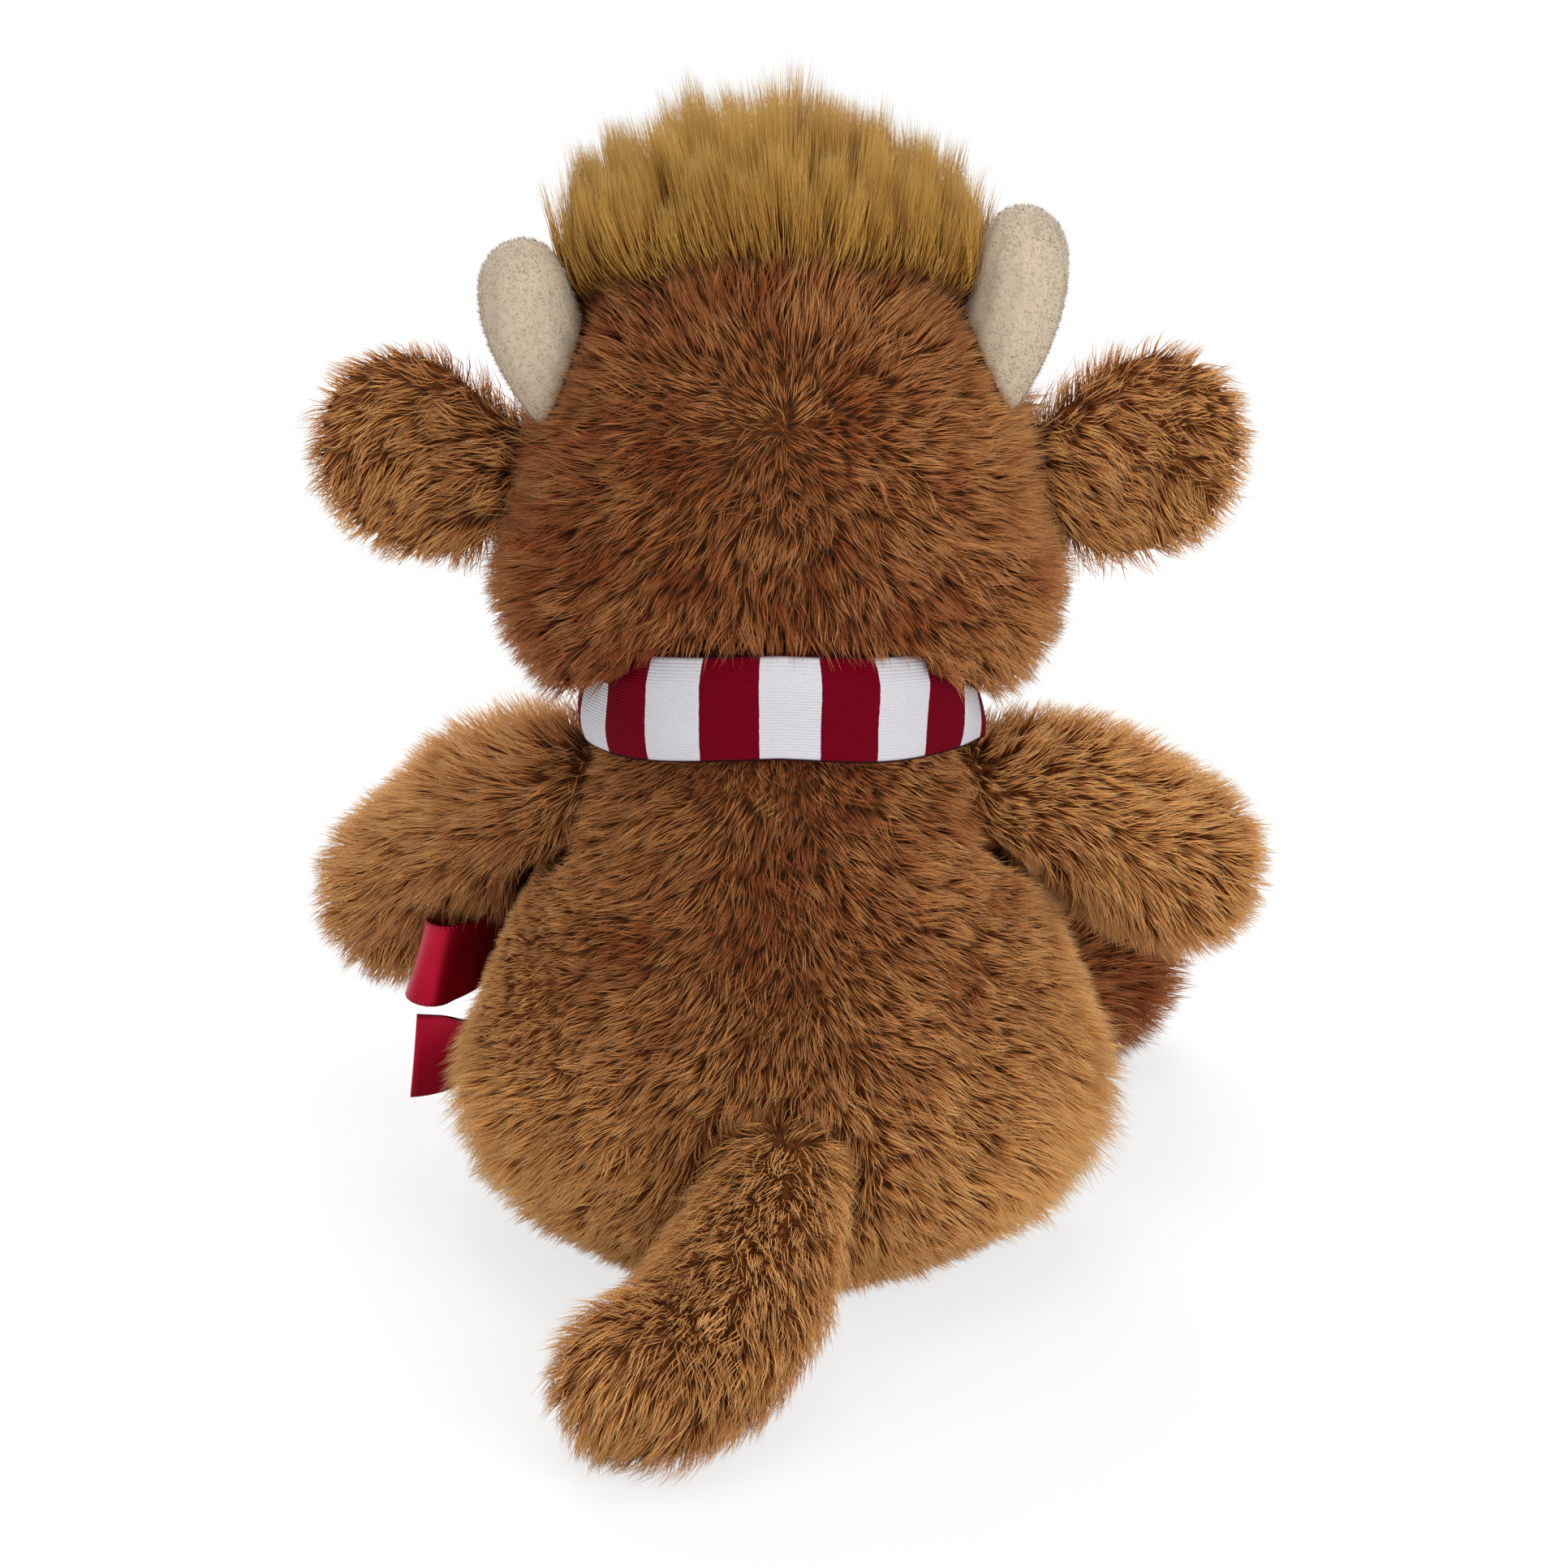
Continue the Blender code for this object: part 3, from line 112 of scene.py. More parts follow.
class Finish:
    """A material made of nodes; set() feeds its shader and add() makes any other node."""

    def __init__(self, name, **settings):
        self.material = bpy.data.materials.new(name)
        self.material.use_nodes = True
        self.tree = self.material.node_tree
        self.shader = self.tree.nodes["Principled BSDF"]
        for key, value in settings.items():
            self.set(key.replace("_", " ").title().replace("Ior", "IOR"), value)

    def plug(self, socket, value):
        if isinstance(value, Wire):
            self.tree.links.new(value.socket, socket)
        else:
            socket.default_value = value

    def set(self, name, value):
        self.plug(self.shader.inputs[name], value)

    def add(self, kind, settings, inputs, output=0):
        node = self.tree.nodes.new(kind)
        for key, value in settings.items():
            setattr(node, key, value)
        for key, value in inputs.items():
            self.plug(node.inputs[key], value)
        return Wire(self, node.outputs[output])

    def mix(self, share, first, second):
        """A mix of two colours; a colour that isn't a wire is given as a screen shows it."""
        ends = [end if isinstance(end, Wire) else colour(*end) for end in (first, second)]
        inputs = {0: share, 6: ends[0], 7: ends[1]}
        return self.add("ShaderNodeMix", {"data_type": "RGBA"}, inputs, output=2)

    def paint(self, share, first, second):
        """Makes the base colour a mix of two."""
        self.set("Base Color", self.mix(share, first, second))

    def span(self, value, start, end, first, last):
        """A value that runs from first to last while the given one runs from start to end."""
        inputs = {0: value, 1: start, 2: end, 3: first, 4: last}
        return self.add("ShaderNodeMapRange", {}, inputs)

    def edges(self, across, margin):
        """1 in the margins of a strip and 0 between them."""
        low = self.span(across, margin, margin + EDGE_BLUR, 1.0, 0.0)
        high = self.span(across, 1 - EDGE_BLUR - margin, 1 - margin, 0.0, 1.0)
        return low.math("MAXIMUM", low, high)

    def mapped(self):
        """The map OFBake, and its two values: along a strand or strip, and across it."""
        where = self.add("ShaderNodeUVMap", {"uv_map": "OFBake"}, {})
        along = self.add("ShaderNodeSeparateXYZ", {}, {0: where})
        return where, along, along.output("Y")

    def paint_strands(self, places, dark, light):
        """Colours strands from root to tip, from the dark row to the light one by their tint."""
        along, tint = self.mapped()[1:]
        rows = []
        for shades in (dark, light):
            rows.append(self.add("ShaderNodeValToRGB", {}, {0: along}))
            ramp = rows[-1].socket.node.color_ramp.elements
            while len(ramp) < len(places):
                ramp.new(0.5)
            for stop, place, shade in zip(ramp, places, shades):
                stop.position, stop.color = place, colour(*shade)
        self.paint(tint, *rows)

    def place(self, turn=(0, 0, 0), scale=(1, 1, 1)):
        """The object's own coordinates, turned and scaled."""
        where = self.add("ShaderNodeTexCoord", {}, {}, output="Object")
        return self.add("ShaderNodeMapping", {}, {0: where, 2: turn, 3: scale})

    def noise(self, where, scale, detail=2.0, roughness=0.5):
        inputs = {"Vector": where, "Scale": scale, "Detail": detail, "Roughness": roughness}
        return self.add("ShaderNodeTexNoise", {}, inputs)

    def bump(self, height, distance, strength=1.0):
        inputs = {"Height": height, "Distance": distance, "Strength": strength}
        self.set("Normal", self.add("ShaderNodeBump", {}, inputs))


# Studio. A plain white sweep with large soft lamps; the camera sees it pure white, and the
# floor keeps the toy's soft shadow.
WHITE = (1, 1, 1, 1)
FLOOR_GREY = (0.92, 0.92, 0.92, 1)
SKY_LIGHT = 0.55
FLOOR_RADIUS = 2.2
FLOOR_DEPTH = -0.0004
SHADOW_NEAR, SHADOW_FAR = 0.16, 0.75
SHADOW_FADE = 0.72
LAMPS = (
    ("key_lamp", (-0.80, 1.20, 0.75), 0.9, 16.0),
    ("fill_lamp", (0.95, 0.90, 0.80), 0.9, 5.0),
    ("front_lamp", (0.25, -1.2, 0.85), 1.0, 16.0),
    ("top_lamp", (0.0, 0.1, 1.5), 0.8, 4.0),
)
for name, place, size, watts in LAMPS:
    lamp = bpy.data.lights.new(name, "AREA")
    lamp.size, lamp.energy = size, watts
    lamp_object = new_object(name, lamp)
    lamp_object.location = place
    lamp_object.rotation_euler = (Vector(place) - AIM).to_track_quat("Z", "Y").to_euler()

world = bpy.data.worlds.new("studio_world")
world.use_nodes = True
bpy.context.scene.world = world
sky = world.node_tree
sky_rays = sky.nodes.new("ShaderNodeLightPath")
sky_level = sky.nodes.new("ShaderNodeMapRange")
sky_level.inputs["To Min"].default_value = SKY_LIGHT
sky.links.new(sky_rays.outputs["Is Camera Ray"], sky_level.inputs[0])
sky.nodes["Background"].inputs["Color"].default_value = WHITE
sky.links.new(sky_level.outputs[0], sky.nodes["Background"].inputs["Strength"])

bpy.ops.object.select_all(action="DESELECT")
bpy.ops.mesh.primitive_circle_add(
    vertices=96, radius=FLOOR_RADIUS, fill_type="NGON", location=(0, 0, FLOOR_DEPTH)
)
floor = bpy.context.object
floor.name = "studio_floor"
floor_finish = Finish("studio_floor", roughness=0.9, base_color=FLOOR_GREY)
floor_place = floor_finish.add("ShaderNodeTexCoord", {}, {}, output="Object")
floor_reach = floor_finish.add(
    "ShaderNodeVectorMath", {"operation": "LENGTH"}, {0: floor_place}, output=1
)
floor_level = floor_finish.span(floor_reach, SHADOW_NEAR, SHADOW_FAR, SHADOW_FADE, 1.0)
floor_level.socket.node.interpolation_type = "SMOOTHSTEP"
floor_glow = floor_finish.add("ShaderNodeEmission", {}, {"Color": WHITE})
floor_seen = floor_finish.add("ShaderNodeMixShader", {}, {
    0: floor_finish.add("ShaderNodeLightPath", {}, {}, output="Is Camera Ray") * floor_level,
    1: Wire(floor_finish, floor_finish.shader.outputs[0]),
    2: floor_glow,
})
floor_finish.plug(floor_finish.tree.nodes["Material Output"].inputs["Surface"], floor_seen)
floor.data.materials.append(floor_finish.material)

X_AXIS, Y_AXIS, Z_AXIS = Vector((1, 0, 0)), Vector((0, 1, 0)), Vector((0, 0, 1))

# Body. A pear of long-pile fur fabric, sewn down the middle of the back and stuffed firmly;
# the pile is combed out and down from the seam and lies in small locks.
PILE_LENGTH = 0.0092
PILE_WIDTH = 0.00034
# Each layer's name, its strands for a square metre, its share of the length, the rings of
# each strand and what its random seed adds.
PILE_LAYERS = (("top", 545000, 1.0, 2, 0), ("under", 1350000, 0.86, 1, 50))
SKIN_DEPTH = 0.0030
SKIN_GRAIN = 0.0028
SKIN_ROUNDS = 8
MERGE_WITHIN = 0.00002
# How freely locks and strands wander from the flow: spread of heading and of lean, in radians.
LOCK_WANDER = (0.28, 0.13)
STRAND_WANDER = (0.15, 0.10)
LEAN_RANGE = (0.25, 1.25)
RIPPLE_WAVES = 5
CURL = 0.50
CURL_SIZES = (0.026, 0.010)
BEND_UP, BEND_AHEAD = 0.50, 0.14
TINT_RANGE = (0.03, 0.97)
TINT_SPREAD = 0.07
FEWEST_LOCKS = 8
LOCK_LENGTHS = (0.86, 1.12)
STRAND_LENGTHS = (0.72, 1.06)
STRAND_WIDTHS = (0.75, 1.25)
STRAND_TAPER = 1.6
STRAND_FLATNESS = 0.6
MAP_STEP = 0.02
MAP_RANGE = (0.005, 0.995)
# A strand with less room than this in front of another solid is left out, and none goes as
# low as the floor.
LEAST_ROOM = 0.0022
LOWEST_TIP = 0.0006


def modifier(obj, kind, **settings):
    made = obj.modifiers.new(kind.lower(), kind)
    for key, value in settings.items():
        setattr(made, key, value)


def apply_modifiers(obj):
    bpy.ops.object.select_all(action="DESELECT")
    obj.select_set(True)
    bpy.context.view_layer.objects.active = obj
    for waiting in list(obj.modifiers):
        bpy.ops.object.modifier_apply(modifier=waiting.name)


def ball(name, segments, rings, radius):
    bpy.ops.object.select_all(action="DESELECT")
    bpy.ops.mesh.primitive_uv_sphere_add(segments=segments, ring_count=rings, radius=radius)
    bpy.context.object.name = name
    return bpy.context.object


def smoothed_node(node, name, grain, rounds):
    """A copy of a CAD node, in its place, to be remeshed with this grain and smoothed."""
    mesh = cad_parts[node].data.copy()
    mesh.materials.clear()
    mesh.name = name
    work = bmesh.new()
    work.from_mesh(mesh)
    bmesh.ops.remove_doubles(work, verts=work.verts, dist=MERGE_WITHIN)
    work.to_mesh(mesh)
    work.free()
    obj = new_object(name, mesh)
    modifier(obj, "REMESH", mode="VOXEL", voxel_size=grain, use_smooth_shade=True)
    modifier(obj, "SMOOTH", factor=0.5, iterations=rounds)
    return obj


def dress(obj, body, finish, slot, *nodes):
    """Gives a piece its material, its body and the CAD nodes that it stands for; the slot is not
    used.
    """
    obj.data.materials.append(finish.material)
    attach(obj, body)
    if nodes:
        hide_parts(*nodes)


def backing(node, name, body, finish, depth=SKIN_DEPTH, grain=SKIN_GRAIN):
    """The knitted backing that a piece's pile grows from: the stuffed form, a little inside it."""
    obj = smoothed_node(node, name, grain, SKIN_ROUNDS)
    modifier(obj, "DISPLACE", strength=-depth, mid_level=0.0)
    apply_modifiers(obj)
    dress(obj, body, finish, None, node)
    return obj


def triangles(obj):
    """Corner places and corner normals of a mesh's triangles."""
    mesh = obj.data
    mesh.calc_loop_triangles()
    found = []
    for items, name, kind in (
        (mesh.vertices, "co", float),
        (mesh.vertices, "normal", float),
        (mesh.loop_triangles, "vertices", np.int32),
    ):
        values = np.empty(len(items) * 3, kind)
        items.foreach_get(name, values)
        found.append(values.reshape(-1, 3))
    places, normals, corners = found
    return places[corners], normals[corners]


def unit(vectors):
    return vectors / np.maximum(np.linalg.norm(vectors, axis=1, keepdims=True), 1e-9)


def areas_of(surface):
    first, second, third = surface[0].transpose(1, 0, 2)
    return np.linalg.norm(np.cross(second - first, third - first), axis=1) / 2


def scattered(surface, count, rng):
    """Even random places on a surface, and the smooth normals there."""
    places, normals = surface
    areas = areas_of(surface)
    chosen = rng.choice(len(areas), count, p=areas / areas.sum())
    first, second = rng.random((2, count, 1))
    flip = first + second > 1
    first, second = np.where(flip, 1 - first, first), np.where(flip, 1 - second, second)
    shares = np.stack([1 - first - second, first, second], axis=1)
    return (places[chosen] * shares).sum(axis=1), unit((normals[chosen] * shares).sum(axis=1))


def ripple(places, size, seed):
    """A smooth random value from -1 to 1 that changes over about this size."""
    rng = np.random.default_rng(seed)
    total = 0.0
    for _ in range(RIPPLE_WAVES):
        way = unit(rng.normal(size=(1, 3)))[0] * rng.uniform(0.7, 1.5) * math.tau / size
        total = total + np.sin(places @ way + rng.uniform(0, math.tau))
    return total / RIPPLE_WAVES * 1.6


def turned(vectors, axes, angles):
    """Vectors turned about axes at right angles to them."""
    return vectors * np.cos(angles)[:, None] + np.cross(axes, vectors) * np.sin(angles)[:, None]


def between(values, start, end):
    """0 up to the start and 1 from the end on; the end may be the lower one."""
    return np.clip((values - start) / (end - start), 0, 1)


def nearest(centres, places):
    """The number of the centre that is nearest to each place."""
    tree = KDTree(len(centres))
    for i, centre in enumerate(centres):
        tree.insert(centre, i)
    tree.balance()
    return np.array([tree.find(place)[1] for place in places])


def bent(start, bend, end, share):
    """The place at this share of a curve that starts and ends there, drawn to the bend."""
    return start * (1 - share) ** 2 + bend * 2 * share * (1 - share) + end * share**2


def solids_but(*names):
    """The CAD solids that a piece's pile must keep out of, as one tree to cast rays into."""
    verts, faces = [], []
    for name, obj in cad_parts.items():
        if name in names:
            continue
        start = len(verts)
        verts += [vert.co for vert in obj.data.vertices]
        faces += [[start + i for i in face.vertices] for face in obj.data.polygons]
    return BVHTree.FromPolygons(verts, faces)


def solid_alone(name):
    return solids_but(*(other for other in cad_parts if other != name))


class Locks:
    """Strands as arrays: root, bend and tip of each, its width, its tint and the side it shows."""

    def __init__(self, roots, bends, tips, widths, tints, sides):
        self.parts = [roots, bends, tips, widths, tints, sides]

    def where(self, keep):
        return Locks(*(part[keep] for part in self.parts))

    def piece(self, name, rings, body, finish, slot):
        """One piece of closed three-sided strands, each with this many rings below its tip.
        The map OFBake runs from root to tip one way and holds the tint the other way."""
        roots, bends, tips, widths, tints, sides = self.parts
        count = len(roots)
        verts, u, v = [], [], []
        for number, share in enumerate(np.linspace(0, 1, rings + 1)[:-1]):
            centre = bent(roots, bends, tips, share)
            ahead = unit((bends - roots) * (1 - share) + (tips - bends) * share)
            across = unit(sides - ahead * (sides * ahead).sum(axis=1, keepdims=True))
            lift = np.cross(ahead, across)
            width = (widths * (1 - share**STRAND_TAPER) / 2)[:, None]
            for turn in (0, math.tau / 3, 4 * math.pi / 3):
                flat = lift * math.sin(turn) * width * STRAND_FLATNESS
                verts.append(centre + across * math.cos(turn) * width + flat)
            u += [np.full(count, share + step) for step in (0, 0 if number else MAP_STEP, 0)]
            v += [tints - MAP_STEP, tints, tints + MAP_STEP]
        verts.append(tips)
        u.append(np.full(count, MAP_RANGE[1]))
        v.append(tints)
        pairs = ((0, 1), (1, 2), (2, 0))
        last = 3 * rings - 3
        faces = [(0, 2, 1)]
        for low, high in zip(range(0, last, 3), range(3, last + 3, 3)):
            for i, j in pairs:
                faces += [(low + i, low + j, high + j), (low + i, high + j, high + i)]
        faces += [(last + i, last + j, last + 3) for i, j in pairs]
        verts = np.stack(verts, axis=1)
        per = verts.shape[1]
        u, v = np.stack(u, axis=1), np.clip(np.stack(v, axis=1), *MAP_RANGE)
        corners = (np.arange(count)[:, None, None] * per + np.array(faces)).reshape(-1)
        made = bpy.data.meshes.new(name)
        made.vertices.add(count * per)
        made.vertices.foreach_set("co", verts.reshape(-1).astype(np.float32))
        made.loops.add(len(corners))
        made.loops.foreach_set("vertex_index", corners.astype(np.int32))
        made.polygons.add(len(corners) // 3)
        made.polygons.foreach_set("loop_start", np.arange(0, len(corners), 3, dtype=np.int32))
        made.update(calc_edges=True)
        layer = made.uv_layers.new(name="OFBake")
        map_places = np.stack([u.reshape(-1)[corners], v.reshape(-1)[corners]], axis=1)
        layer.data.foreach_set("uv", map_places.reshape(-1).astype(np.float32))
        made.shade_smooth()
        made.validate()
        dress(new_object(name, made), body, finish, slot)


def grow(surface, density, length, width, flow, blocked, seed, lean=0.54, tint=None,
         lock_size=0.0042, gather=0.46, stand_off=SKIN_DEPTH, shorter=None, swirl=1.0):
    """The pile on a surface, in locks: neighbouring strands lean together and share a tip."""
    rng = np.random.default_rng(seed)
    area = areas_of(surface).sum()
    count = int(area * density)
    roots, normals = scattered(surface, count, rng)
    lock_count = max(FEWEST_LOCKS, int(area / lock_size**2))
    centres, lock_normals = scattered(surface, lock_count, rng)
    owner = nearest(centres, roots)

    def laid(places, ups, spread, tilt):
        way = flow(places, ups)
        way = unit(way - ups * (way * ups).sum(axis=1, keepdims=True))
        curl = sum(ripple(places, size, seed + 1 + i) for i, size in enumerate(CURL_SIZES))
        way = turned(way, ups, CURL * swirl * curl + rng.normal(0, spread, len(places)))
        return way, np.clip(lean + tilt * rng.normal(0, 1, len(places)), *LEAN_RANGE)

    lock_way, lock_rise = laid(centres, lock_normals, *LOCK_WANDER)
    way, rise = laid(roots, normals, *STRAND_WANDER)
    lock_long = rng.uniform(*LOCK_LENGTHS, lock_count)
    lock_long = lock_long * (1 + 0.10 * ripple(centres, 0.02, seed + 3))
    long = length * rng.uniform(*STRAND_LENGTHS, count) * lock_long[owner]
    lock_long = length * lock_long
    if shorter:
        long = long * shorter(roots, normals)
        lock_long = lock_long * shorter(centres, lock_normals)

    def tip_of(places, ups, ways, rises, longs):
        rises = rises[:, None]
        return places + (ups * np.cos(rises) + ways * np.sin(rises)) * longs[:, None]

    own_tips = tip_of(roots, normals, way, rise, long)
    lock_tips = tip_of(centres, lock_normals, lock_way, lock_rise, lock_long)[owner]
    hold = gather * rng.uniform(0.55, 1.0, count)[:, None]
    tips = own_tips * (1 - hold) + lock_tips * hold
    bends = roots + (normals * BEND_UP + way * BEND_AHEAD) * long[:, None]
    keep = np.ones(count, bool)
    reach = np.linalg.norm(tips - roots, axis=1)
    starts = roots + normals * stand_off
    heading = unit(tips - starts)
    for i in range(count):
        hit = blocked.ray_cast(starts[i], heading[i], reach[i])[3]
        if hit is None:
            continue
        if hit < LEAST_ROOM:
            keep[i] = False
        else:
            share = min(1.0, hit / reach[i] + 0.1)
            tips[i] = roots[i] + (tips[i] - roots[i]) * share
            bends[i] = roots[i] + (bends[i] - roots[i]) * share
    keep &= tips[:, 2] > LOWEST_TIP
    widths = width * rng.uniform(*STRAND_WIDTHS, count)
    shade = 0.5 + 0.15 * ripple(centres, 0.022, seed + 4)
    shade = shade + rng.normal(0, TINT_SPREAD, lock_count)
    tints = shade[owner] + rng.normal(0, TINT_SPREAD, count)
    if tint:
        tints = tints + tint(roots, normals)
    ahead = unit(tips - roots)
    sides = turned(unit(np.cross(normals, ahead)), ahead, rng.normal(0, 0.5, count))
    return Locks(roots, bends, tips, widths, np.clip(tints, *TINT_RANGE), sides).where(keep)


def furry(node, body, flow, seed, blocked, length=PILE_LENGTH, corner=None, depth=SKIN_DEPTH,
          grain=SKIN_GRAIN, fill=0.9, **more):
    """A stuffed piece: its backing, and curved strands over straight ones, as one piece of each
    or, where a corner is given, one for each quarter of the form round it."""
    name = f"{body}_backing"
    surface = triangles(backing(node, name, body, brown_backing, depth, grain))
    for kind, density, share, rings, later in PILE_LAYERS:
        grown = grow(surface, density, length * share, PILE_WIDTH, flow, blocked, seed + later,
                     **more)
        if corner is None:
            quarters = {"": np.ones(len(grown.parts[0]), bool)}
        else:
            left = grown.parts[0][:, 0] > corner[0]
            back = grown.parts[0][:, 1] > corner[1]
            quarters = {"_back_left": back & left, "_back_right": back & ~left}
            quarters |= {"_front_left": ~back & left, "_front_right": ~back & ~left}
        for quarter, keep in quarters.items():
            name = f"{body}_pile_{kind}{quarter}"
            grown.where(keep).piece(name, rings, body, brown_pile, "brown_pile")


brown_pile = Finish("brown_pile", roughness=0.70, sheen_weight=0.08, sheen_roughness=0.5,
                    specular_ior_level=0.15, sheen_tint=colour(255, 214, 160))
brown_pile.paint_strands(
    (0.00, 0.35, 0.72, 1.00),
    ((64, 25, 9), (102, 41, 14), (138, 57, 20), (160, 78, 31)),
    ((140, 79, 35), (206, 134, 69), (238, 180, 108), (248, 208, 146)),
)
brown_backing = Finish("brown_backing", roughness=0.95, specular_ior_level=0.1)
backing_noise = brown_backing.noise(brown_backing.place(), 420.0, detail=4.0)
brown_backing.paint(backing_noise, (60, 28, 10), (120, 66, 28))
brown_backing.bump(backing_noise, 0.0012)


def body_flow(places, normals):
    aside = np.clip(places[:, 0] / 0.030, -1, 1)
    return np.stack([aside, 0 * aside, -0.75 - 0.2 * (1 - np.abs(aside))], axis=1)


def body_painted_light_tint(places, normals):
    """Painted light and shade: the pile is painted lighter low down and at the sides, and painted
    shade darkens the parting down the back.
    """
    x, y, z = places.T
    # Painted shade in the parting down the middle of the back.
    seam = np.exp(-((x / 0.012) ** 2)) * (y > 0)
    # Painted light: lighter low down and at the sides.
    edges = 0.43 * between(z, 0.095, 0.030) + 0.18 * between(np.abs(x), 0, 0.060) ** 2
    return edges - 0.12 * seam + 0.09 * ripple(places, 0.017, 91) - 0.21


def body_short(places, normals):
    """The pile is clipped shorter under the seat, in the neck and at the waist, most of all
    behind the bow, and stands fuller low on the flanks."""
    x, _, z = places.T
    left, aside = x > 0, np.abs(x)
    under = 0.45 * between(z, 0.034, 0.004)
    neck = 0.35 * between(z, 0.112, 0.124)
    waist = np.where(left, 0.60, 0.20) * between(z, 0.044, 0.054) * between(z, 0.104, 0.090)
    flank = np.where(left, 0.42, 0.70) * np.exp(-(((z - 0.032) / 0.018) ** 2))
    waist, flank = waist * between(aside, 0.030, 0.050), flank * between(aside, 0.036, 0.052)
    return 1 - under - neck - waist + flank


furry("torso", "body", body_flow, 11, solids_but("torso", "tail"), corner=(0.0, 0.0),
      tint=body_painted_light_tint, shorter=body_short)

# Head. The same fabric in a rounded block, turned on the neck; its pile parts from a whorl
# high on the back and runs up to the hair, out to the ears and down over the scarf.
WHORL = np.array((0.0, 0.034, 0.206))


def head_flow(places, normals):
    away = unit(places - WHORL)
    front = between(places[:, 1:2], -0.030, -0.050)
    face = places * (12, 0, 0) + np.array((0, 0, -0.8))
    return away * (1 - front) + face * front


def head_painted_light_tint(places, normals):
    # Painted light lightens the right side of the head; the pile is also darker towards the lower
    # edge and mottled at random.
    low = 0.06 * between(places[:, 2], 0.190, 0.160)
    right = 0.18 * between(places[:, 0], 0.010, -0.050) ** 2
    return right - low + 0.09 * ripple(places, 0.016, 92) - 0.26


def head_short(places, normals):
    """The pile hangs a little longer along the lower edge, over the scarf, and runs longer
    over the foot of the hair in the middle and into the corners above the ears."""
    x, _, z = places.T
    low = between(z, 0.146, 0.132)
    crown = between(z, 0.216, 0.226) * np.exp(-((x / 0.030) ** 2))
    corner = between(np.abs(x), 0.044, 0.052) * np.exp(-(((z - 0.195) / 0.012) ** 2))
    return 1 + 0.15 * low + 0.75 * crown + 0.85 * corner


furry("head", "head", head_flow, 23, solids_but("head", "hair_tuft", "ear_left", "ear_right"),
      corner=(0.0, -0.012), tint=head_painted_light_tint, shorter=head_short)

# Ears. Flat pockets of the pile fabric with a cream lining inside, sewn into the side of the
# head and drooping a little; the pile runs out to the tip and fringes the edge.
EAR_PILE_LENGTH = 0.0076


def ear_flow(places, normals):
    x, _, z = places.T
    rise = (z - 0.178) * 26 - 0.50 * between(np.abs(x), 0.062, 0.074)
    return np.stack([np.sign(x), np.full(len(x), -0.1), rise], axis=1)


def ear_tint(places, normals):
    return 0.14 * between(np.abs(places[:, 0]), 0.072, 0.092) + 0.07


def ear_short(places, normals):
    """The pile stands longer at the root, where it fills the corners beside the head."""
    return 1 + 0.85 * between(np.abs(places[:, 0]), 0.074, 0.060)


for ear, seed in (("ear_left", 32), ("ear_right", 30)):
    furry(ear, ear, ear_flow, seed, solids_but(ear, "hair_tuft", "head"), EAR_PILE_LENGTH,
          depth=0.0022, grain=0.0014, fill=0.4, stand_off=0.0024, tint=ear_tint,
          shorter=ear_short, lean=0.72, lock_size=0.0052)

# Limbs. Stuffed tubes of the same fabric, ladder-stitched to the body so that they swing; the
# pile runs from the root to the paw. Each row holds the root, and the pile's length, lean,
# swirl and tint.
LIMB_DROOP = 0.15
LIMB_GRAIN = 0.0016
LIMBS = {
    # The last value partly paints light and shade: the right arm lighter, the left arm darker.
    "arm_left": ((0.0398, -0.0088, 0.1015), 0.0097, 0.62, 0.8, -0.03),
    "arm_right": ((-0.0398, -0.0088, 0.1015), 0.0095, 0.62, 0.8, 0.10),
    "leg_left": ((0.0307, -0.0452, 0.0188), 0.0092, 0.54, 0.8, 0.02),
    "leg_right": ((-0.0277, -0.0460, 0.0188), 0.0112, 0.54, 0.8, -0.02),
    "tail": ((0.0, 0.0512, 0.0400), 0.0100, 0.92, 0.35, 0.20),
}


def limb_flow(root):
    return lambda places, normals: unit(places - np.array(root)) - np.array((0, 0, LIMB_DROOP))


def limb_painted_light_tint(shade, rear_shade):
    """Painted light and shade: the pile is painted lighter on top and at the outer end, and darker
    below and to the rear.
    """
    def tint(places, normals):
        outer = between(np.abs(places[:, 0]), 0.050, 0.085)
        rear = np.clip(0.8 * normals[:, 1] - 0.8 * normals[:, 0] - 0.1, 0, 1)
        return 0.16 * normals[:, 2] + 0.14 * outer - rear_shade * rear + shade

    return tint


def limb_short(places, normals):
    """The pile of the left arm stands fuller over the shoulder."""
    shoulder = between(places[:, 2], 0.088, 0.100) * np.clip(normals[:, 2], 0, 1)
    return 1 + 0.42 * shoulder * (places[:, 0] > 0.036)


for number, (limb, (root, length, lean, swirl, shade)) in enumerate(LIMBS.items()):
    around = solids_but(limb, "torso" if limb == "tail" else limb)
    # Painted shade darkens the rear of the right leg.
    rear_shade = 0.44 if limb == "leg_right" else 0.0
    furry(limb, limb, limb_flow(root), 41 + number, around, length, grain=LIMB_GRAIN,
          tint=limb_painted_light_tint(shade, rear_shade), shorter=limb_short, lean=lean, swirl=swirl)

# Hair. A tuft of long glossy ochre pile sewn in a band across the crown and brushed up into
# soft pointed locks that fan out between the horns.
HAIR_COUNT = 23500
HAIR_WIDTH = 0.00038
HAIR_HALF_WIDTH = 0.0405
HAIR_HALF_DEPTH = 0.0160
HAIR_LOCKS = 170
HAIR_ROOT_DEPTH = 0.0040
HAIR_NEARNESS = (1.0, 1.5, 0.0)
LOCK_SHARES = (0.78, 1.06)
LOCK_SCATTER = np.array((0.0042, 0.0030, 0.0))
STRAND_SCATTER = np.array((0.0012, 0.0010, 0.0003))
HAIR_HOLD = (0.30, 0.92)
# Part of the hair is filling, which ends lower and stands apart from the locks.
FILLING_PART = 0.42
FILLING_SHARES = (0.40, 0.85)
FULL_SHARES = (0.82, 1.0)
FILLING_SPREAD = (0.010, 0.014, 0)
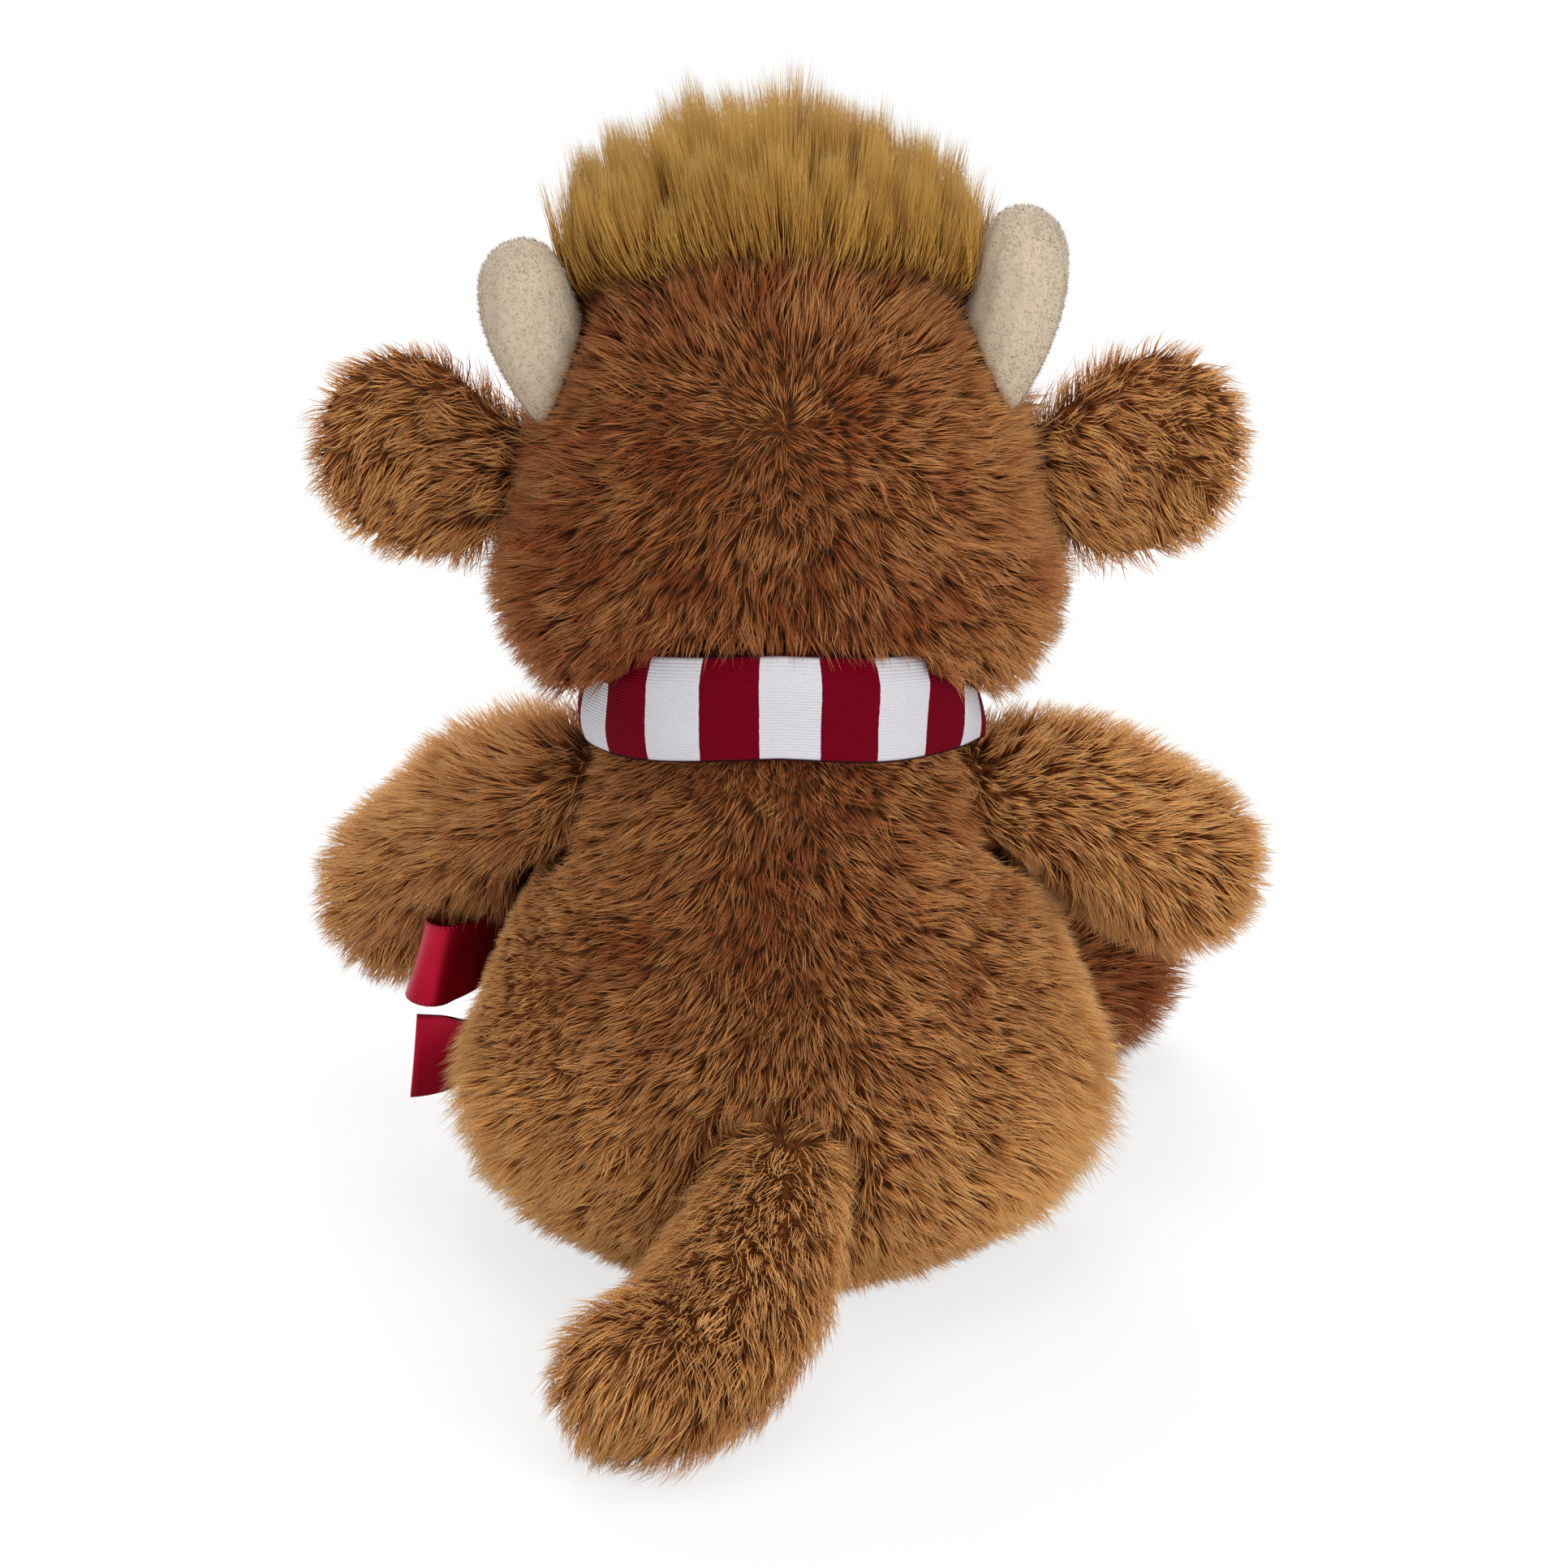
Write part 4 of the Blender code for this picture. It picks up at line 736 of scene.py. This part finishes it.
# Each hair bends outward below its tip, and a little to either side.
HAIR_BEND = 0.52
HAIR_BULGE = (0.0036, 0.0030, 0)
HAIR_WAVE = 0.0012
HAIR_MIDDLE = -0.0150
HAIR_REACH = 0.0468
HAIR_LEAN_ASIDE = 0.0018
HAIR_BACKING_TOP = 0.2380
HAIR_OUTLINE = (
    (-0.0490, 0.226), (-0.0449, 0.231), (-0.0432, 0.240), (-0.0379, 0.2495), (-0.0326, 0.2555),
    (-0.0185, 0.2620), (-0.0026, 0.2672), (0.0150, 0.2650), (0.0247, 0.2615), (0.0317, 0.2560),
    (0.0405, 0.2515), (0.0484, 0.2492),
)
hair_rng = np.random.default_rng(77)
crown = solid_alone("head")


def hair_roots(count):
    turn = hair_rng.uniform(0, math.tau, count)
    out = np.sqrt(hair_rng.uniform(0, 1, count))
    x, y = out * np.cos(turn), out * np.sin(turn)
    places = []
    for across, along in zip(x * HAIR_HALF_WIDTH, HAIR_MIDDLE + y * HAIR_HALF_DEPTH):
        hit = crown.ray_cast(Vector((across, along, 0.3)), -Z_AXIS)[0]
        places.append((across, along, hit.z - HAIR_ROOT_DEPTH))
    return np.array(places), x, y


def hair_tips(roots, x, y, long):
    """Where a hair that starts there ends: the tuft fans out and is tallest in the middle."""
    side = np.sign(x) * np.abs(x) ** 0.80 * HAIR_REACH + HAIR_LEAN_ASIDE
    top = np.interp(side, *zip(*HAIR_OUTLINE)) - 0.0120 * np.abs(y) ** 2.5
    ends = np.stack([side, HAIR_MIDDLE + y * 0.0265, top], axis=1)
    return roots + (ends - roots) * long[:, None]


lock_roots, x, y = hair_roots(HAIR_LOCKS)
lock_long = np.clip(hair_rng.normal(0.95, 0.065, HAIR_LOCKS), *LOCK_SHARES)
lock_tips = hair_tips(lock_roots, x, y, lock_long)
lock_tips += hair_rng.normal(0, 1, (HAIR_LOCKS, 3)) * LOCK_SCATTER
roots, x, y = hair_roots(HAIR_COUNT)
hair_owner = nearest(lock_roots * HAIR_NEARNESS, roots * HAIR_NEARNESS)
filling = hair_rng.random(HAIR_COUNT) < FILLING_PART
share = np.where(filling, hair_rng.uniform(*FILLING_SHARES, HAIR_COUNT),
                 hair_rng.uniform(*FULL_SHARES, HAIR_COUNT))[:, None]
hold = hair_rng.uniform(*HAIR_HOLD, HAIR_COUNT)[:, None] * (0.25 + 0.75 * share**2)
own_tips = hair_tips(roots, x, y, lock_long[hair_owner] * share[:, 0])
shared_tips = lock_roots[hair_owner] + (lock_tips - lock_roots)[hair_owner] * share
tips = own_tips * (1 - hold) + shared_tips * hold
tips += hair_rng.normal(0, 1, (HAIR_COUNT, 3)) * STRAND_SCATTER
outward = np.stack([x, y, np.zeros(HAIR_COUNT)], axis=1)
tips += filling[:, None] * (1 - share) * (outward * FILLING_SPREAD)
waves = np.stack([ripple(roots, 0.006, 5), ripple(roots, 0.006, 6), 0 * x], axis=1)
bends = roots * (1 - HAIR_BEND) + tips * HAIR_BEND + outward * HAIR_BULGE + HAIR_WAVE * waves
hair_lock_tint = hair_rng.normal(0.5, 0.20, HAIR_LOCKS)
tints = hair_lock_tint[hair_owner] + hair_rng.normal(0, 0.15, HAIR_COUNT)
turn = hair_rng.normal(0, 0.9, HAIR_COUNT)
sides = np.stack([np.cos(turn), np.sin(turn), 0 * turn], axis=1)
widths = HAIR_WIDTH * hair_rng.uniform(0.7, 1.3, HAIR_COUNT)
hair = Locks(roots, bends, tips, widths, np.clip(tints, *TINT_RANGE), sides)

ochre_pile = Finish("ochre_pile", roughness=0.40, sheen_weight=0.05, specular_ior_level=0.35)
ochre_pile.paint_strands(
    (0.00, 0.26, 0.65, 1.00),
    ((96, 48, 13), (124, 71, 18), (151, 101, 27), (172, 126, 44)),
    ((120, 67, 19), (157, 97, 29), (191, 143, 53), (218, 176, 90)),
)
ochre_backing = Finish("ochre_backing", roughness=0.95)
ochre_noise = ochre_backing.noise(ochre_backing.place(scale=(1, 1, 0.12)), 700.0, detail=3.0)
ochre_backing.paint(ochre_noise, (112, 70, 24), (160, 110, 42))
hair_backing = backing("hair_tuft", "hair_backing", "head", ochre_backing, depth=0.0100)
for vert in hair_backing.data.vertices:
    vert.co.z = min(vert.co.z, HAIR_BACKING_TOP + (vert.co.z - HAIR_BACKING_TOP) * 0.1)
for part_name, keep in (("left", roots[:, 0] > 0), ("right", roots[:, 0] <= 0)):
    hair.where(keep).piece(f"hair_{part_name}", 2, "head", ochre_pile, "ochre_pile")

# Horns, muzzle, ear linings and soles. Short cream velvet pile, stuffed and sewn in; the nap
# catches the light in soft streaks and stands out as a fine fuzz at the edges.
NAP_LENGTH = 0.0010
NAP_WIDTH = 0.00017
cream_nap = Finish("cream_nap", roughness=0.85, sheen_weight=0.15, sheen_roughness=0.5,
                   specular_ior_level=0.1)
nap_along, nap_tint = cream_nap.mapped()[1:]
nap_root = cream_nap.mix(nap_tint, (146, 129, 107), (198, 183, 162))
nap_tip = cream_nap.mix(nap_tint, (158, 141, 119), (225, 211, 191))
cream_nap.paint(nap_along, nap_root, nap_tip)

cream_backing = Finish("cream_backing", roughness=0.9, sheen_weight=0.15, specular_ior_level=0.1)
cream_place = cream_backing.place(scale=(1, 1, 0.35))
cream_streaks = cream_backing.noise(cream_place, 900.0, detail=3.0, roughness=0.6)
cream_patches = cream_backing.noise(cream_backing.place(), 90.0)
cream_shade = cream_backing.mix(cream_streaks, (164, 147, 125), (192, 176, 154))
cream_backing.paint(cream_patches * 0.5, cream_shade, (182, 167, 146))
cream_backing.bump(cream_streaks, 0.0002, 0.4)


def nap_flow(steady, outward):
    """Nap that runs this steady way, and out from the middle by this much of the distance."""
    return lambda places, normals: places * (outward, 0, 0) + np.array(steady)


# Each row holds the node, its body, how its nap runs and leans, its fill and its grain.
NAP_DENSITY = 2300000
CREAM_PIECES = (
    ("horn_left", "head", (0, 0.1, 1), 0, 0.62, 0.95, 0.0008),
    ("horn_right", "head", (0, 0.1, 1), 0, 0.62, 0.95, 0.0008),
    ("muzzle", "head", (0, 0, -0.5), 30, 0.30, 0.9, 0.0008),
    ("ear_lining_left", "ear_left", (1, 0, -0.2), 0, 0.30, 0.2, 0.00034),
    ("ear_lining_right", "ear_right", (-1, 0, -0.2), 0, 0.30, 0.2, 0.00034),
    ("sole_left", "leg_left", (0.2, 0, -1), 0, 0.30, 0.2, 0.0005),
    ("sole_right", "leg_right", (0.2, 0, -1), 0, 0.30, 0.2, 0.0005),
)
for number, (node, body, steady, outward, lean, fill, grain) in enumerate(CREAM_PIECES):
    cream = backing(node, f"{node}_velvet", body, cream_backing, 0.0001, grain)
    nap = grow(triangles(cream), NAP_DENSITY, NAP_LENGTH, NAP_WIDTH, nap_flow(steady, outward),
               solids_but(node), 61 + number, lean=lean, lock_size=0.0022, gather=0.0,
               stand_off=0.0003, swirl=0.3)
    nap.piece(f"{node}_nap", 1, body, cream_nap, "cream_minky")

# Nostrils. Two small ovals worked in dark brown satin stitch on the muzzle.
nostril_thread = Finish("nostril_thread", roughness=0.55, sheen_weight=0.2)
thread_lines = nostril_thread.add(
    "ShaderNodeTexWave", {"bands_direction": "X"},
    {"Vector": nostril_thread.place(turn=(0, 0.5, 0)), "Scale": 900.0, "Distortion": 1.5},
    output=1,
)
nostril_thread.paint(thread_lines, (38, 18, 10), (92, 52, 30))
nostril_thread.bump(thread_lines, 0.0003)
for suffix in ("left", "right"):
    node = f"nostril_{suffix}"
    nostril = smoothed_node(node, f"{node}_stitching", 0.00022, 6)
    apply_modifiers(nostril)
    dress(nostril, "head", nostril_thread, "nostril_thread", node)

# Eyes. Glossy dark safety eyes; a short stem runs through the fabric into a plastic washer
# inside the head.
EYE_RADIUS = 0.0055
EYE_DOME = 0.0046
EYE_TURN = math.radians(25)
EYE_STEM_FROM = -0.0012
eye_gloss = Finish("eye_gloss", roughness=0.06, specular_ior_level=0.35)
eye_gloss.paint(eye_gloss.noise(eye_gloss.place(), 1400.0), (10, 6, 4), (30, 18, 12))
washer_plastic = Finish("washer_plastic", roughness=0.45)
washer_noise = washer_plastic.noise(washer_plastic.place(), 600.0)
washer_plastic.paint(washer_noise, (178, 178, 174), (206, 206, 202))
for side, suffix in ((1, "left"), (-1, "right")):
    node = f"eye_{suffix}"
    low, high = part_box(node)
    middle = (low + high) / 2
    out = Vector((math.sin(side * EYE_TURN), -math.cos(EYE_TURN), 0))
    front = solid_alone(node).ray_cast(middle + out * 0.03, -out)[0]
    seat = front - out * EYE_DOME
    eye = ball(f"{node}_dome", 40, 24, EYE_RADIUS)
    bpy.ops.object.mode_set(mode="EDIT")
    bpy.ops.mesh.select_all(action="SELECT")
    bpy.ops.transform.resize(value=(1, 1, EYE_DOME / EYE_RADIUS))
    bpy.ops.mesh.select_all(action="DESELECT")
    bpy.ops.object.mode_set(mode="OBJECT")
    for face in eye.data.polygons:
        face.select = face.center.z < EYE_STEM_FROM
    bpy.ops.object.mode_set(mode="EDIT")
    bpy.ops.mesh.select_mode(type="FACE")
    bpy.ops.transform.resize(value=(0.45, 0.45, 1.6))
    bpy.ops.object.mode_set(mode="OBJECT")
    face_out = out.to_track_quat("Z", "Y").to_matrix().to_4x4()
    eye.data.transform(Matrix.Translation(seat) @ face_out)
    eye.data.shade_smooth()
    dress(eye, "head", eye_gloss, "eye_gloss", node)
    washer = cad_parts[f"eye_washer_{suffix}"]
    washer.data.materials.clear()
    washer.data.materials.append(washer_plastic.material)

# Scarf. A strip of printed velour with upright crimson and white stripes, its edges overlocked
# in dark thread, wrapped once round the neck and tied under the chin.
SCARF_RADIUS = 0.0410
SCARF_LENGTH = 0.262
SCARF_WIDTH = 0.0246
SCARF_THICKNESS = 0.0020
SCARF_STRIPES = 20
STRIPE_TURN = 0.161
SCARF_BACK_LOW = 0.1332
SCARF_FRONT_DROP = 0.0215
SCARF_DIP_POWER = 0.75
STRIPE_BLUR = 0.015
RIB_WIDTH = 0.0007


def striped_velour(name, pairs, shift, length, width):
    """The printed velour; its map runs along the strip and across it, each from 0 to 1."""
    finish = Finish(name, roughness=0.85, specular_ior_level=0.04)
    where, along, across = finish.mapped()
    grain = finish.add("ShaderNodeMapping", {}, {0: where, 3: (length, width, 1)})
    fine = finish.noise(grain, 1800.0, detail=3.0, roughness=0.7)
    wander = (finish.noise(grain, 700.0) - 0.5) * 0.010
    wave = ((along * pairs + shift + wander * pairs * 0.1) * math.tau).sine()
    red = finish.mix(fine, (82, 0, 12), (108, 0, 24))
    white = finish.mix(fine, (174, 173, 178), (202, 201, 206))
    stripes = finish.mix(finish.span(wave, -STRIPE_BLUR, STRIPE_BLUR, 0.0, 1.0), white, red)
    finish.paint(finish.edges(across, 0.025), stripes, (40, 8, 18))
    ribs = (across * (width / RIB_WIDTH * math.tau)).sine()
    finish.bump(ribs * 0.35 + fine, 0.00022, 0.8)
    return finish


def strip(name, grid, thickness, finish, slot, node, flat, closed=False, offset=-1.0):
    """A strip of cloth through a grid of places: rows along it, each running across it."""
    work = bmesh.new()
    layer = work.loops.layers.uv.new("OFBake")
    verts = [[work.verts.new(place) for place in row] for row in grid]
    rows, columns = len(verts), len(verts[0])
    steps = rows if closed else rows - 1
    for i in range(steps):
        for j in range(columns - 1):
            k = (i + 1) % rows
            face = work.faces.new((verts[i][j], verts[k][j], verts[k][j + 1], verts[i][j + 1]))
            corners = ((i, j), (i + 1, j), (i + 1, j + 1), (i, j + 1))
            for loop, (row, column) in zip(face.loops, corners):
                loop[layer].uv = (row / steps, column / (columns - 1))
    mesh = bpy.data.meshes.new(name)
    work.to_mesh(mesh)
    work.free()
    obj = new_object(name, mesh)
    modifier(obj, "SOLIDIFY", thickness=thickness, offset=offset, use_even_offset=True)
    modifier(obj, "BEVEL", width=thickness * 0.30, segments=2, limit_method="ANGLE",
             angle_limit=math.radians(50))
    apply_modifiers(obj)
    obj.data.shade_smooth()
    dress(obj, "body", finish, slot, node)


def length_of(path):
    return sum((b - a).length for a, b in zip(path, path[1:]))


def heading(path, i):
    return (path[min(i + 1, len(path) - 1)] - path[max(i - 1, 0)]).normalized()


def scarf_place(turn, share):
    """A place on the band; share runs from its lower edge to its upper one."""
    dip = ((1 - math.sin(turn)) / 2) ** SCARF_DIP_POWER
    height = SCARF_BACK_LOW - SCARF_FRONT_DROP * dip + SCARF_WIDTH * share
    bulge = 0.0010 * (1 - (2 * share - 1) ** 4) - 0.0064 * max(0.0, share - 0.75)
    loose = 1 - 0.85 * max(0.0, math.sin(turn)) ** 2
    folds = (0.0007 * math.sin(3 * turn) + 0.0005 * math.sin(7 * turn + 3 * share)) * loose
    crease = 0.0006 * math.sin(2 * turn + 1.0) * math.sin(math.tau * share)
    flare = 0.0034 * math.exp(-(((turn - 3.20) / 0.16) ** 2)) * (1 - share) ** 2
    reach = SCARF_RADIUS + bulge + folds + crease + flare
    lift = 0.0006 * math.sin(5 * turn + 0.8) * (1 - share) * loose
    return Vector((reach * math.cos(turn), reach * math.sin(turn), height + lift))


turns = np.linspace(0, math.tau, 145)[:-1]
band_grid = [[scarf_place(turn, share) for share in np.linspace(0, 1, 21)] for turn in turns]
band_velour = striped_velour("scarf_velour", SCARF_STRIPES / 2, STRIPE_TURN, 0.26, SCARF_WIDTH)
strip("scarf_band_cloth", band_grid, SCARF_THICKNESS, band_velour, "striped_velour",
      "scarf_band", (SCARF_LENGTH, SCARF_WIDTH), closed=True)

# Scarf knot and ends. The strip is crossed under the chin and one turn of it wraps the
# crossing; the two ends hang from below and lie on the chest, hemmed in the same dark thread.
KNOT_MIDDLE = Vector((0.0, -0.0468, 0.1158))
KNOT_HALVES = (0.0130, 0.0099, 0.0114)
SCARF_END_WIDTH = 0.0245
SCARF_END_THICKNESS = 0.0016
SCARF_END_LIFT = 0.0034
STRIPE_PAIR = 0.026
END_STEPS = 25
FROM_OUTSIDE = 0.15
TORSO_SIZES = (0.068, 0.058)
SCARF_ENDS = {
    "scarf_end_left": ((-80, -78, -76, -74, -72), (0.111, 0.104, 0.096, 0.088, 0.080),
                       (0.45, 0.64, 0.80, 0.92, 1.0)),
    "scarf_end_right": ((-101, -104, -110, -122, -148), (0.111, 0.104, 0.094, 0.079, 0.064),
                        (0.45, 0.62, 0.80, 0.95, 1.0)),
}


def knotted(name, middle, axes, halves, pleats, depth, map_turn):
    """A wrapped knot: a ball drawn out along the first axis, pleated where it is pulled in."""
    obj = ball(name, 64, 32, 1.0)
    obj.data.name = name
    obj.data.uv_layers[0].name = "OFBake"
    for vert in obj.data.vertices:
        turn = math.atan2(vert.co.y, vert.co.x)
        along = vert.co.z
        pleat = math.sin(pleats * along * 2 + 0.9 * math.sin(turn * 2 + map_turn))
        round_out = (1 - along * along) ** 0.10 if abs(along) < 1 else 0.0
        swell = (1 + depth * pleat) * max(round_out, 0.7)
        ring = (vert.co.x * swell, vert.co.y * swell)
        place = axes[0] * along * halves[0] + axes[1] * ring[0] * halves[1]
        vert.co = middle + place + axes[2] * ring[1] * halves[2]
    obj.data.shade_smooth()
    return obj


scarf_knot = knotted("scarf_knot_wrap", KNOT_MIDDLE, (X_AXIS, Y_AXIS, Z_AXIS), KNOT_HALVES,
                     3.5, 0.045, 0.6)
knot_velour = striped_velour("knot_velour", 2.6, 0.15, 0.066, 0.026)
dress(scarf_knot, "body", knot_velour, "striped_velour", "scarf_knot")

torso_only = solid_alone("torso")


def eased(values):
    """Values read along a table at even steps, with its corners rounded off."""
    steps = np.linspace(0, len(values) - 1, END_STEPS)
    found = np.interp(steps, np.arange(len(values)), values)
    for _ in range(6):
        found[1:-1] = (found[:-2] + 2 * found[1:-1] + found[2:]) / 4
    return found


def on_chest(way, height):
    """The place on the torso in this direction, at this height, and its normal."""
    level = way.xy.to_3d().normalized()
    return torso_only.ray_cast(level * FROM_OUTSIDE + Z_AXIS * height, -level)[:2]


for name, tables in SCARF_ENDS.items():
    degrees, heights, narrows = (eased(values) for values in tables)
    turns = np.radians(degrees)
    ways = zip(TORSO_SIZES[0] * np.cos(turns), TORSO_SIZES[1] * np.sin(turns))
    line = [on_chest(Vector((*way, 0)), height)[0] for way, height in zip(ways, heights)]
    grid = []
    for i, (here, narrow) in enumerate(zip(line, narrows)):
        across = heading(line, i).cross(here.xy.to_3d().normalized()).normalized()
        row = []
        for share in np.linspace(-1, 1, 17):
            beside = here + across * share * narrow * SCARF_END_WIDTH / 2
            hit, normal = on_chest(beside, beside.z)
            fold = 0.0007 * math.cos(math.pi * share * 1.5 + i * 0.05) + 0.0003 * math.sin(i * 0.5)
            gather = 0.0006 * math.sin(share * 9) * (1 - i / (END_STEPS - 1)) ** 2
            row.append(hit + normal * (SCARF_END_LIFT + fold + gather))
        grid.append(row)
    flat = (length_of(line), SCARF_END_WIDTH)
    end_velour = striped_velour(f"{name}_velour", flat[0] / STRIPE_PAIR, 0.3, *flat)
    strip(f"{name}_cloth", grid, SCARF_END_THICKNESS, end_velour, "striped_velour", name, flat)

# Bow. Crimson satin ribbon with a woven edge, tied in a flat bow and stitched to the left
# flank by its knot; the loops stand open and the ends are cut straight across.
RIBBON_WIDTH = 0.0195
RIBBON_THICKNESS = 0.0006
BOW_MIDDLE = Vector((0.0581, -0.0371, 0.0555))
BOW_OUT = Vector((0.80, -0.60, 0.0))
BOW_ALONG = Vector((0.60, 0.80, 0.0))
BOW_KNOT_HALVES = (0.0044, 0.0034, 0.0070)
BOW_HALF_OPENING = 0.0052
RIBBON_PINCH = 0.0055
TAIL_PINCH = 0.0018
LOOP_START = 0.0030
LOOP_PINCH = 0.0008
WEAVE_LINES = 5200.0
BOW_LOOPS = {
    "bow_loop_left": (Vector((0.0204, 0.0126, -0.0005)), Vector((-0.26, 0.0, 1.0))),
    "bow_loop_right": (Vector((-0.0370, -0.0310, 0.0185)), Vector((0.0, 0.0, 1.0))),
}
BOW_TAILS = {
    "bow_tail_left": (
        -0.4, Vector((0.0010, 0.0020, -0.0285)), Vector((0.0222, 0.0070, -0.0263)),
    ),
    "bow_tail_right": (
        0.4, Vector((0.0020, -0.0090, -0.0255)), Vector((0.0010, -0.0110, -0.0438)),
    ),
}

crimson_satin = Finish("crimson_satin", roughness=0.33, metallic=0.80, anisotropic=0.5)
satin_along, satin_across = crimson_satin.mapped()[1:]
satin_fine = crimson_satin.noise(crimson_satin.place(), WEAVE_LINES, detail=1.0)
satin_soft = crimson_satin.noise(crimson_satin.place(), 160.0)
satin_shade = crimson_satin.mix(satin_soft, (140, 0, 26), (178, 0, 46))
picks = crimson_satin.edges(satin_across, 0.030) * ((satin_along * 420.0).sine() * 0.5 + 0.5)
crimson_satin.paint(picks * 0.8, satin_shade, (96, 0, 22))
crimson_satin.bump(satin_fine * 0.5 + picks, 0.00010, 0.6)


def ribbon(name, path, halves, lifts, sides):
    """A ribbon whose middle follows the path; it is pleated wherever it is drawn in narrow."""
    grid = []
    for i, (place, half, lift, side) in enumerate(zip(path, halves, lifts, sides)):
        drawn = max(0.0, 1 - half / (RIBBON_WIDTH / 2))
        row = []
        for share in np.linspace(-1, 1, 15):
            pleat = 0.0011 * drawn * math.cos(share * 3.0 * math.pi)
            cup = 0.0004 * math.cos(share * math.pi / 2 + 0.25 * i / len(path))
            row.append(place + lift * half * share + side * (pleat + cup))
        grid.append(row)
    strip(f"{name}_satin", grid, RIBBON_THICKNESS, crimson_satin, "crimson_satin", name,
          (length_of(path), RIBBON_WIDTH), offset=0.0)


def widening(share, pinch):
    """Half the ribbon's width on its way from the pinch at the knot to its full width."""
    return pinch + (RIBBON_WIDTH / 2 - pinch) * math.sin(share * math.pi / 2)


def frames(path, up):
    """Directions across a ribbon and out of its face, at each place on its path."""
    lifts, sides = [], []
    for i in range(len(path)):
        ahead = heading(path, i)
        lift = (up - ahead * up.dot(ahead)).normalized()
        lifts.append(lift)
        sides.append(ahead.cross(lift).normalized())
    return lifts, sides


for name, (reach, up) in BOW_LOOPS.items():
    way = reach.normalized()
    side = Z_AXIS.cross(way).normalized()
    start = BOW_MIDDLE + way * LOOP_START
    length = reach.length - LOOP_START - BOW_HALF_OPENING
    leg = []
    for share in np.linspace(0, 1, 15):
        opening = math.sin(share * math.pi / 2)
        spread = LOOP_PINCH + (BOW_HALF_OPENING - LOOP_PINCH) * opening
        leg.append((start + way * length * share, spread))
    path = [place + side * spread for place, spread in leg]
    for turn in np.linspace(0, math.pi, 13)[1:-1]:
        around = side * math.cos(turn) + way * math.sin(turn)
        path.append(start + way * length + around * BOW_HALF_OPENING)
    path += [place - side * spread for place, spread in reversed(leg)]
    shares = [min(1.0, (place - start).length / (length * 0.55)) for place in path]
    halves = [widening(share, RIBBON_PINCH) for share in shares]
    ribbon(name, path, halves, *frames(path, up.normalized()))

for name, (shift, corner, reach) in BOW_TAILS.items():
    middle = BOW_MIDDLE - BOW_ALONG * shift * 0.005 + BOW_OUT * shift * 0.004
    start = middle - Z_AXIS * 0.0058 + BOW_OUT * 0.0008
    bend, end = BOW_MIDDLE + corner, BOW_MIDDLE + reach
    path, halves, lifts, sides = [], [], [], []
    for share in np.linspace(0, 1, 29):
        path.append(bent(start, bend, end, share))
        ahead = (bend - start).lerp(end - bend, share).normalized()
        lifts.append(ahead.cross(BOW_OUT).normalized())
        sides.append(ahead.cross(lifts[-1]).normalized())
        halves.append(widening(min(1, share / 0.85), TAIL_PINCH))
    ribbon(name, path, halves, lifts, sides)

bow_knot = knotted("bow_knot_wrap", BOW_MIDDLE, (BOW_ALONG, BOW_OUT, Z_AXIS), BOW_KNOT_HALVES,
                   3.0, 0.06, 0.3)
dress(bow_knot, "body", crimson_satin, "crimson_satin", "bow_knot")
